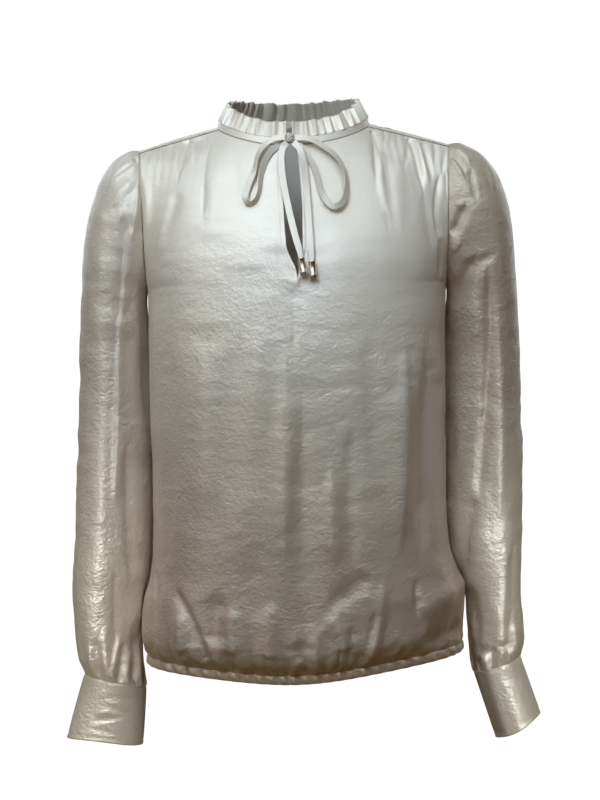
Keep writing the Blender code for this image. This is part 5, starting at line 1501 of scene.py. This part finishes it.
def body_share(columns):
    """Places from 0 at the middle to 1 at the side, closer together at both ends."""
    share = np.linspace(0, 1, columns + 1)
    return mix(share, (1 - np.cos(math.pi * share)) / 2, COLUMN_CROWDING)


def body_lift(points, normals, u, levels, face):
    """How far the creases, puckers, seams and small wrinkles lift a grid of points of the body."""
    level = np.array(levels)[:, None]
    above = points[..., 2] - hem_shift(u * math.pi / 2, face) - HEM_Z
    facing = ease(*CREASE_FACING, normals[..., 1] * face)
    rows = FRONT_CREASES if face == FRONT else BACK_CREASES
    edge = ease(0, SIDE_FADE, 1 - np.abs(u)) * np.where(level >= 0, ease(0, TOP_FADE, 1 - level), 1.0)
    gain = mix(CREASE_GAIN_LOW, CREASE_GAIN_HIGH, ease(*CREASE_GAIN_Z, points[..., 2]))
    gain = mix(CREASE_GAIN_HEM, gain, ease(*CREASE_GAIN_HEM_Z, points[..., 2]))
    lift = gain * crease_heights(points, facing, rows) * edge
    lift = lift * mix(LEFT_AT_HEM, 1.0, ease(0, CREASE_HEM_FADE, above))
    gathers = puckers((u + 1) / 2, above, 2 * HALF_GIRTH, HEM_PUCKERS[face])
    lift = lift + gathers * edge * mix(LEFT_AT_HEM, 1.0, ease(0, PUCKER_HEM_FADE, above))
    calm = ease(0, CRUMPLE_HEM_FADE, above) * (1 - np.abs(u) ** CRUMPLE_SIDE_POWER) * edge
    lift = lift + crumple(points, BODY_CRUMPLE) * calm
    lift = lift + seam_dip((1 - np.abs(u)) * HALF_GIRTH)
    lift = lift + seam_dip((1 - level) * TOP_CHORD) * (level >= 0)
    if face == FRONT:
        height = points[..., 2]
        for middle, reach, depth in FRONT_SAG:
            sag = depth * np.exp(-(((height - middle) / reach) ** 2))
            fade = ease(0, SAG_HEM_FADE, above) * ease(-SAG_TOP_FADE, 0.0, -level)
            lift = lift + sag * (1 - u**SAG_SIDE_POWER) * fade
        inside = np.abs(points[..., 0] - SLIT_MIDDLE(height)) - SLIT_HALF(height) - SLIT_STITCH
        groove = SLIT_STITCH_DEPTH * np.exp(-((inside / SLIT_STITCH_WIDTH) ** 2))
        lift = lift - groove * ease(*SLIT_STITCH_FROM, SLIT_HALF(height)) * (level >= 0)
    return lift


def body_sheet(name, face, columns, low_rows, high_rows, cloth):
    halves = []
    levels = body_levels(low_rows, high_rows)
    for side in (LEFT, RIGHT):
        u = side * body_share(columns)
        if side == LEFT:
            u = u[::-1]
        points = np.array([body_row(u, level, face, side) for level in levels])
        normals = np.array([body_normals(u, level, face, side) for level in levels])
        halves.append(points + normals * body_lift(points, normals, u, levels, face)[..., None])
    if face == BACK:
        halves = [half[:, ::-1] for half in halves]
    points = np.concatenate([half.reshape(-1, 3) for half in halves])
    rows, width = halves[0].shape[:2]
    faces = grid_faces(rows, width, False)
    faces = np.concatenate([faces, faces + rows * width])
    return new_mesh(name, points, faces, cloth, merge=True)


def build_front(cloth):
    item = body_sheet("front_cloth", FRONT, *FRONT_GRID, cloth)
    sew(item, "front")


def build_back(cloth):
    item = body_sheet("back_cloth", BACK, *BACK_GRID, cloth)
    sew(item, "back")


STRIP_COLUMNS = 60
STRIP_ROWS = 12


def build_strips(cloth):
    share = np.linspace(0, 1, STRIP_COLUMNS)
    for side, word in WORDS.items():
        edges = {}
        for face in (FRONT, BACK):
            reach = STRIP_TUCK if face == BACK else -SEAM_GAP / 2
            edges[face] = shoulder_seam(share, face, side) + seam_aside(face, side) * reach
        neck = neckline(side * (NECK_EDGE[FRONT] + NECK_EDGE[BACK]) / 2)
        arm = armhole(ARM_EDGE[FRONT] / 2, FRONT, side)
        middle = mix(neck, arm, share[:, None])
        middle[:, 2] += STRIP_CROWN * np.sin(math.pi * share)
        weights = map(through, np.linspace(0, 1, STRIP_ROWS))
        rows = np.array([edges[FRONT] * a + middle * b + edges[BACK] * c for a, b, c in weights])
        item = grid_mesh("strip_%s_cloth" % word, rows[:, ::side], False, cloth)
        sew(item, "shoulder_strip_" + word)


SLEEVE_CREASE_TABLES = {
    (LEFT, FRONT): LEFT_SLEEVE_CREASES,
    (LEFT, BACK): LEFT_SLEEVE_BACK_CREASES,
    (RIGHT, FRONT): RIGHT_SLEEVE_CREASES,
    (RIGHT, BACK): RIGHT_SLEEVE_BACK_CREASES,
}
SLEEVE_GIRTH = 290.0
RING_SPAN = 24.0
HEAD_RING_SPAN = 12.0
SLEEVE_COLUMNS = 216
SLEEVE_ROWS = 220
HEAD_ROWS = 90
HEAD_RING = 4.0
SLEEVE_CREASE_FADE = 0.5
SLEEVE_CREASE_AT_CUFF = 0.35
SLEEVE_CRUMPLE = 2.2

# Where the inner side of the sleeve is fuller: height, reach and depth, and which way the cloth faces there
INNER_FACING = (0.3, 0.9)
INNER_FILLS = {
    LEFT: ((-207.0, 26.0, 4.2), (-550.0, 60.0, 3.0)),
    RIGHT: ((-207.0, 26.0, 4.2), (-470.0, 55.0, 3.4)),
}


def sleeve_lift(points, away, turn, rings, side):
    """How far the creases, puckers, seams and small wrinkles lift a grid of points of the sleeve."""
    ring = rings[:, None]
    to_cuff = (LAST_RING - ring) * RING_SPAN
    lift = np.zeros(points.shape[:2])
    for face in (FRONT, BACK):
        facing = ease(*CREASE_FACING, away[..., 1] * face)
        lift = lift + crease_heights(points, facing, SLEEVE_CREASE_TABLES[(side, face)])
    at_cuff = mix(SLEEVE_CREASE_AT_CUFF, 1.0, ease(0, SLEEVE_CREASE_FADE, LAST_RING - ring))
    lift = CREASE_GAIN_SLEEVE * lift * ease(0, SLEEVE_CREASE_FADE, ring) * at_cuff
    lift = lift + puckers(turn % 1.0, to_cuff, SLEEVE_GIRTH, CUFF_PUCKERS[side])
    lift = lift + crumple(points, SLEEVE_CRUMPLE) * ease(0, 1, ring) * ease(0, 1, LAST_RING - ring)
    lift = lift + seam_dip(ring * HEAD_RING_SPAN) + seam_dip(to_cuff)
    toward = ease(*INNER_FACING, -side * away[..., 0])
    for middle, reach, depth in INNER_FILLS[side]:
        lift = lift + depth * toward * np.exp(-(((points[..., 2] - middle) / reach) ** 2))
    return lift


def build_sleeves(cloth):
    even = np.arange(SLEEVE_COLUMNS) / SLEEVE_COLUMNS
    low = LAST_RING - (LAST_RING - HEAD_RING) * np.linspace(0, 1, SLEEVE_ROWS, endpoint=False)
    rings = np.concatenate([low, np.linspace(HEAD_RING, 0.0, HEAD_ROWS)])
    for side, word in WORDS.items():
        turn = -side * (even - SLEEVE_CROWDING * np.sin(2 * math.pi * even))
        points = np.array([sleeve_row(turn, float(ring), side) for ring in rings])
        middles = np.array([sleeve_frame(np.full(turn.shape, ring), side)[0] for ring in rings])
        away = unit(points - middles)
        points = points + away * sleeve_lift(points, away, turn, rings, side)[..., None]
        item = grid_mesh("sleeve_%s_cloth" % word, points, True, cloth)
        sew(item, "sleeve_" + word)


CUFF_COLUMNS = 160
CUFF_RINGS = 46
CUFF_RUN = 74.0
CUFF_STITCH = 5.0
CUFF_STITCH_SHARE = 0.5
CUFF_CREASES = {LEFT: LEFT_CUFF_CREASES, RIGHT: RIGHT_CUFF_CREASES}
DOUBLE_CLOTH = 1.4
SINGLE_CLOTH = 0.6


def build_cuffs(cloth):
    shares = np.linspace(1.0, 0.0, CUFF_RINGS)
    from_sleeve = shares[:, None] * CUFF_RUN
    from_edge = (1 - shares[:, None]) * CUFF_RUN
    for row in CUFFS:
        turn = -row.side * np.arange(CUFF_COLUMNS) / CUFF_COLUMNS
        points = np.array([cuff_point(turn, share, row) for share in shares])
        away = unit(points - points.mean(axis=1, keepdims=True))
        lift = crease_heights(points, ease(*CREASE_FACING, -away[..., 1]), CUFF_CREASES[row.side])
        lift = lift + seam_dip(from_sleeve) + CUFF_STITCH_SHARE * seam_dip(from_edge - CUFF_STITCH)
        item = grid_mesh("cuff_%s_cloth" % WORDS[row.side], points + away * lift[..., None], True, cloth)
        thicken(item, DOUBLE_CLOTH)
        sew(item, "cuff_" + WORDS[row.side])


BAND_COLUMNS = 360
BAND_ROWS = 8


def build_band(cloth):
    angle = np.linspace(math.pi, -math.pi, BAND_COLUMNS)
    heights = np.linspace(SEAM_GAP, BAND_HEIGHT - SEAM_GAP, BAND_ROWS)
    item = grid_mesh("neck_band_cloth", [collar_point(angle, height) for height in heights], False, cloth)
    thicken(item, DOUBLE_CLOTH)
    sew(item, "neck_band")


# The frill: how its waves crowd, lean and vary, how deep they are at foot and top, and how its edge curls
FRILL_CROWDING = (Wave(0.34, 5, 0.4), Wave(0.26, 13, 2.0), Wave(0.16, 29, 1.0))
FRILL_CALM = 0.5
FRILL_CALM_TURN = 0.30
FRILL_SHARPNESS = 0.55
FRILL_LEANS = (Wave(1.2, 9, 0.0), Wave(0.8, 17, 1.0))
FRILL_FOOT = 1.3
FRILL_TOP = 2.9
FRILL_TWIST = 0.8
FRILL_EDGE = 0.7
FRILL_WAVE_STEPS = 16
FRILL_ROWS = 16
FRILL_OPENING = 0.8
FRILL_EDGE_PHASE = 1.0


def build_frill(cloth):
    share = np.linspace(0, 1, FRILL_WAVES * FRILL_WAVE_STEPS + 1)
    around = 2 * math.pi * share
    angle = math.pi - around
    outward = neck_outward(angle)
    density = 1 + waves(FRILL_CROWDING, around)
    density = density * mix(FRILL_CALM, 1.0, ease(0.0, FRILL_CALM_TURN, math.pi - np.abs(angle)))
    phase = np.concatenate([[0.0], np.cumsum(density[1:])])
    phase = 2 * math.pi * FRILL_WAVES * phase / phase[-1]
    wave = np.cos(phase + FRILL_SHARPNESS * np.sin(phase + waves(FRILL_LEANS, around)))
    uneven = 1 + waves(FRILL_UNEVEN, around)
    rows = []
    for rise in np.linspace(0, 1, FRILL_ROWS):
        height = BAND_HEIGHT + SEAM_GAP + rise * (FRILL_HEIGHT - SEAM_GAP)
        depth = mix(FRILL_FOOT, FRILL_TOP, rise**FRILL_OPENING)
        twist = FRILL_TWIST * rise * np.sin(phase / 2 + waves(FRILL_LEANS, around))
        row = collar_point(angle, height) + outward * (depth * wave * uneven + twist)[:, None]
        row[:, 2] += FRILL_EDGE * rise * np.cos(phase / 2 + FRILL_EDGE_PHASE) * uneven
        rows.append(row)
    item = grid_mesh("neck_frill_cloth", rows, False, cloth)
    thicken(item, SINGLE_CLOTH)
    sew(item, "neck_frill")


CASING_SEAM = math.pi / 2 + 0.6
CASING_ROWS = 22
CASING_RUCHE_STEPS = 12
CASING_SLOT = 0.06


def build_casing(cloth):
    share = np.arange(CASING_RUCHES * CASING_RUCHE_STEPS) / (CASING_RUCHES * CASING_RUCHE_STEPS)
    line, outward = hem_line(share)
    rows = []
    for turn in np.linspace(CASING_SEAM, CASING_SEAM + 2 * math.pi - CASING_SLOT, CASING_ROWS):
        lift = max(-1.0, min(1.0, CASING_FLATNESS * math.sin(turn)))
        phase = 2 * math.pi * CASING_RUCHES * share + CASING_RUCHE_SLANT * math.sin(turn)
        half = CASING_THICKNESS / 2 + CASING_RUCHE_DEPTH * np.cos(phase)
        point = line + outward * (half * math.cos(turn) - CASING_SET_IN)[:, None]
        point[:, 2] += (lift - 1) * CASING_HEIGHT / 2
        rows.append(point)
    item = grid_mesh("hem_casing_cloth", rows, True, cloth)
    sew(item, "hem_casing")


# Studio
FLOOR_Z = -1.25
STUDIO_RADIUS = 4.6
STUDIO_BEND = 1.2
STUDIO_TOP = 5.0
STUDIO_GLOW = 0.97
PAPER_LIGHT = (0.82, 0.82, 0.81, 1)
PAPER_DARK = (0.78, 0.78, 0.77, 1)
PAPER_GRAIN = 60.0
PAPER_ROUGHNESS = 0.9
STUDIO_COLUMNS = 96
STUDIO_BEND_ROWS = 14
STUDIO_END = 0.01


def build_studio():
    """A round room of pale paper: a floor that curves up into the wall and closes overhead."""
    pale = Nodes("studio_paper")
    grain = pale.noise(pale.place(EVEN), PAPER_GRAIN)
    pale.link(pale.blend(grain, PAPER_LIGHT, PAPER_DARK), pale.shader.inputs["Base Color"])
    pale.set(Roughness=PAPER_ROUGHNESS, Emission_Color=(1, 1, 1, 1), Emission_Strength=STUDIO_GLOW)
    bend = np.linspace(0, math.pi / 2, STUDIO_BEND_ROWS)
    foot = STUDIO_RADIUS - STUDIO_BEND + STUDIO_BEND * np.sin(bend)
    radius = np.concatenate([[STUDIO_END], foot, STUDIO_RADIUS * np.cos(bend)[1:] + STUDIO_END])
    foot_z = FLOOR_Z + STUDIO_BEND * (1 - np.cos(bend))
    height = np.concatenate([[FLOOR_Z], foot_z, STUDIO_TOP * np.sin(bend)[1:]])
    turn = 2 * math.pi * np.arange(STUDIO_COLUMNS) / STUDIO_COLUMNS
    rings = [points_of(r * np.cos(turn), r * np.sin(turn), z) for r, z in zip(radius, height)]
    faces = grid_faces(len(rings), STUDIO_COLUMNS, True).tolist()
    last = (len(rings) - 1) * STUDIO_COLUMNS
    faces += [list(range(STUDIO_COLUMNS))[::-1], list(range(last, last + STUDIO_COLUMNS))]
    item = new_mesh("studio", np.concatenate(rings) / MM, faces, pale.material)
    for ray in ("visible_diffuse", "visible_glossy", "visible_shadow"):
        setattr(item, ray, False)


# Lights: a box has its width and height and its spread in degrees, a spot only its cone. Each has its place,
# what it points at, its watts, its colour, what it lights (everything, the arms, or all but one sleeve), and
# whether the cloth's shine shows it.
SPOT_RADIUS = 0.3
ALL, ARMS, NOT_RIGHT_SLEEVE = "all", "arms", "not_right_sleeve"
LightRow = namedtuple("LightRow", "name box angle place aim power colour lit shining", defaults=(ALL, True))
NEAR_BOX = (1.8, 1.1)
NEAR_PLACE = (-0.1, -0.72, 0.62)
HEM_AIM = (0, 0, -0.3)
CHEST = (0.03, -0.1, -0.02)
LIGHTS = table(
    LightRow,
    ("light_window", (2.6, 2.0), 180, (-0.2, -0.9, 1.35), (0, 0, -0.1), 13.2, (0.71, 0.87, 1.0)),
    ("light_near", NEAR_BOX, 84, NEAR_PLACE, (0, 0, 0.08), 2.1, (0.62, 0.80, 1.0)),
    ("light_fill", NEAR_BOX, 78, NEAR_PLACE, (0, 0, 0.10), 2.0, (0.68, 0.82, 1.0), ALL, False),
    ("light_chest", None, 24, (-0.3, -1.0, 0.55), CHEST, 172, (0.53, 0.72, 1.0), NOT_RIGHT_SLEEVE, False),
    ("light_left", (1.2, 2.0), 180, (-1.7, -1.4, 0.1), HEM_AIM, 4.4, (0.98, 0.94, 0.92)),
    ("light_back_left", (1.8, 1.8), 180, (-1.1, 2.1, 0.8), HEM_AIM, 20, (0.72, 0.86, 1.0)),
    ("light_back_right", (1.8, 1.8), 180, (1.3, 1.9, 0.6), HEM_AIM, 16, (0.72, 0.86, 1.0)),
    ("light_cuff_left", None, 13, (-0.6, -1.7, -0.45), (-0.28, -0.03, -0.66), 320, (0.85, 0.95, 1.0), ARMS),
    ("light_cuff_right", None, 13, (0.65, -1.7, -0.45), (0.28, -0.03, -0.66), 350, (0.83, 0.95, 1.0), ARMS),
)


def collection_of(name, pieces):
    group = bpy.data.collections.new(name)
    for piece in pieces:
        group.objects.link(bpy.data.objects[piece])
    return group


def lamp(row):
    """A soft box or a soft spot."""
    data = bpy.data.lights.new(row.name, "AREA" if row.box else "SPOT")
    data.energy = row.power
    data.color = row.colour
    if row.box:
        data.shape = "RECTANGLE"
        data.size, data.size_y = row.box
        data.spread = math.radians(row.angle)
    else:
        data.spot_size = math.radians(row.angle)
        data.spot_blend = 1.0
        data.shadow_soft_size = SPOT_RADIUS
    return data


# Colour of the light from all round, by the height of its direction: -1 is straight below and 1 above
AIR = (
    (-1.0, (0.100, 0.062, 0.020, 1)),
    (-0.55, (0.100, 0.062, 0.020, 1)),
    (-0.15, (0.0, 0.0, 0.0, 1)),
    (0.15, (0.105, 0.055, 0.010, 1)),
)


def build_air():
    """Warm light from all round, strongest from below, by the height of its direction."""
    world = bpy.data.worlds.new("studio_air")
    world.use_nodes = True
    tree = world.node_tree
    where = tree.nodes.new("ShaderNodeTexCoord")
    split = tree.nodes.new("ShaderNodeSeparateXYZ")
    shift = tree.nodes.new("ShaderNodeMapRange")
    shift.inputs["From Min"].default_value = -1.0
    ramp = tree.nodes.new("ShaderNodeValToRGB")
    tree.links.new(where.outputs["Generated"], split.inputs[0])
    tree.links.new(split.outputs["Z"], shift.inputs["Value"])
    tree.links.new(shift.outputs[0], ramp.inputs[0])
    tree.links.new(ramp.outputs[0], tree.nodes["Background"].inputs["Color"])
    rows = ramp.color_ramp.elements
    while len(rows) < len(AIR):
        rows.new(0.5)
    for row, (height, colour) in zip(rows, AIR):
        row.position = (height + 1) / 2
        row.color = colour
    bpy.context.scene.world = world


def build_lights():
    names = ["%s_%s_cloth" % (kind, word) for word in WORDS.values() for kind in ("sleeve", "cuff")]
    arms = collection_of("arms_lit", names)
    for row in LIGHTS:
        item = bpy.data.objects.new(row.name, lamp(row))
        bpy.context.scene.collection.objects.link(item)
        item.location = row.place
        item.visible_camera = False
        item.visible_glossy = row.shining
        item.rotation_euler = (Vector(row.aim) - Vector(row.place)).to_track_quat("-Z", "Y").to_euler()
        if row.lit == ARMS:
            item.light_linking.receiver_collection = arms
        if row.lit == NOT_RIGHT_SLEEVE:
            spared = collection_of(row.name + "_spares", ["sleeve_right_cloth"])
            spared.collection_objects[0].light_linking.link_state = "EXCLUDE"
            item.light_linking.receiver_collection = spared
    build_air()
    bpy.context.scene.view_settings.view_transform = "Standard"


place_camera()
CLOTH = satin("satin_body")
METAL = tip_metal()
SLEEVE_CLOTH = satin("satin_sleeves", ripple=1.3, taut=0.7)
# The ties' copy of the satin is darkened as painted shade.
TIE_CLOTH = satin("satin_ties_painted_shade", ripple=0.5, painted_light_gain=0.88)
build_tie(LEFT, LOOP_LEFT, TAIL_LEFT, TIE_CLOTH, build_tip(LEFT, TAIL_LEFT, METAL))
build_tie(RIGHT, LOOP_RIGHT, TAIL_RIGHT, TIE_CLOTH, build_tip(RIGHT, TAIL_RIGHT, METAL))
build_knot(TIE_CLOTH)
build_front(CLOTH)
build_back(CLOTH)
build_strips(CLOTH)
build_sleeves(SLEEVE_CLOTH)
build_cuffs(CLOTH)
build_band(CLOTH)
build_frill(CLOTH)
# The casing's copy of the satin is brightened as painted light.
build_casing(satin("satin_casing_painted_light", ripple=0.5, painted_light_gain=1.2))
build_studio()
build_lights()
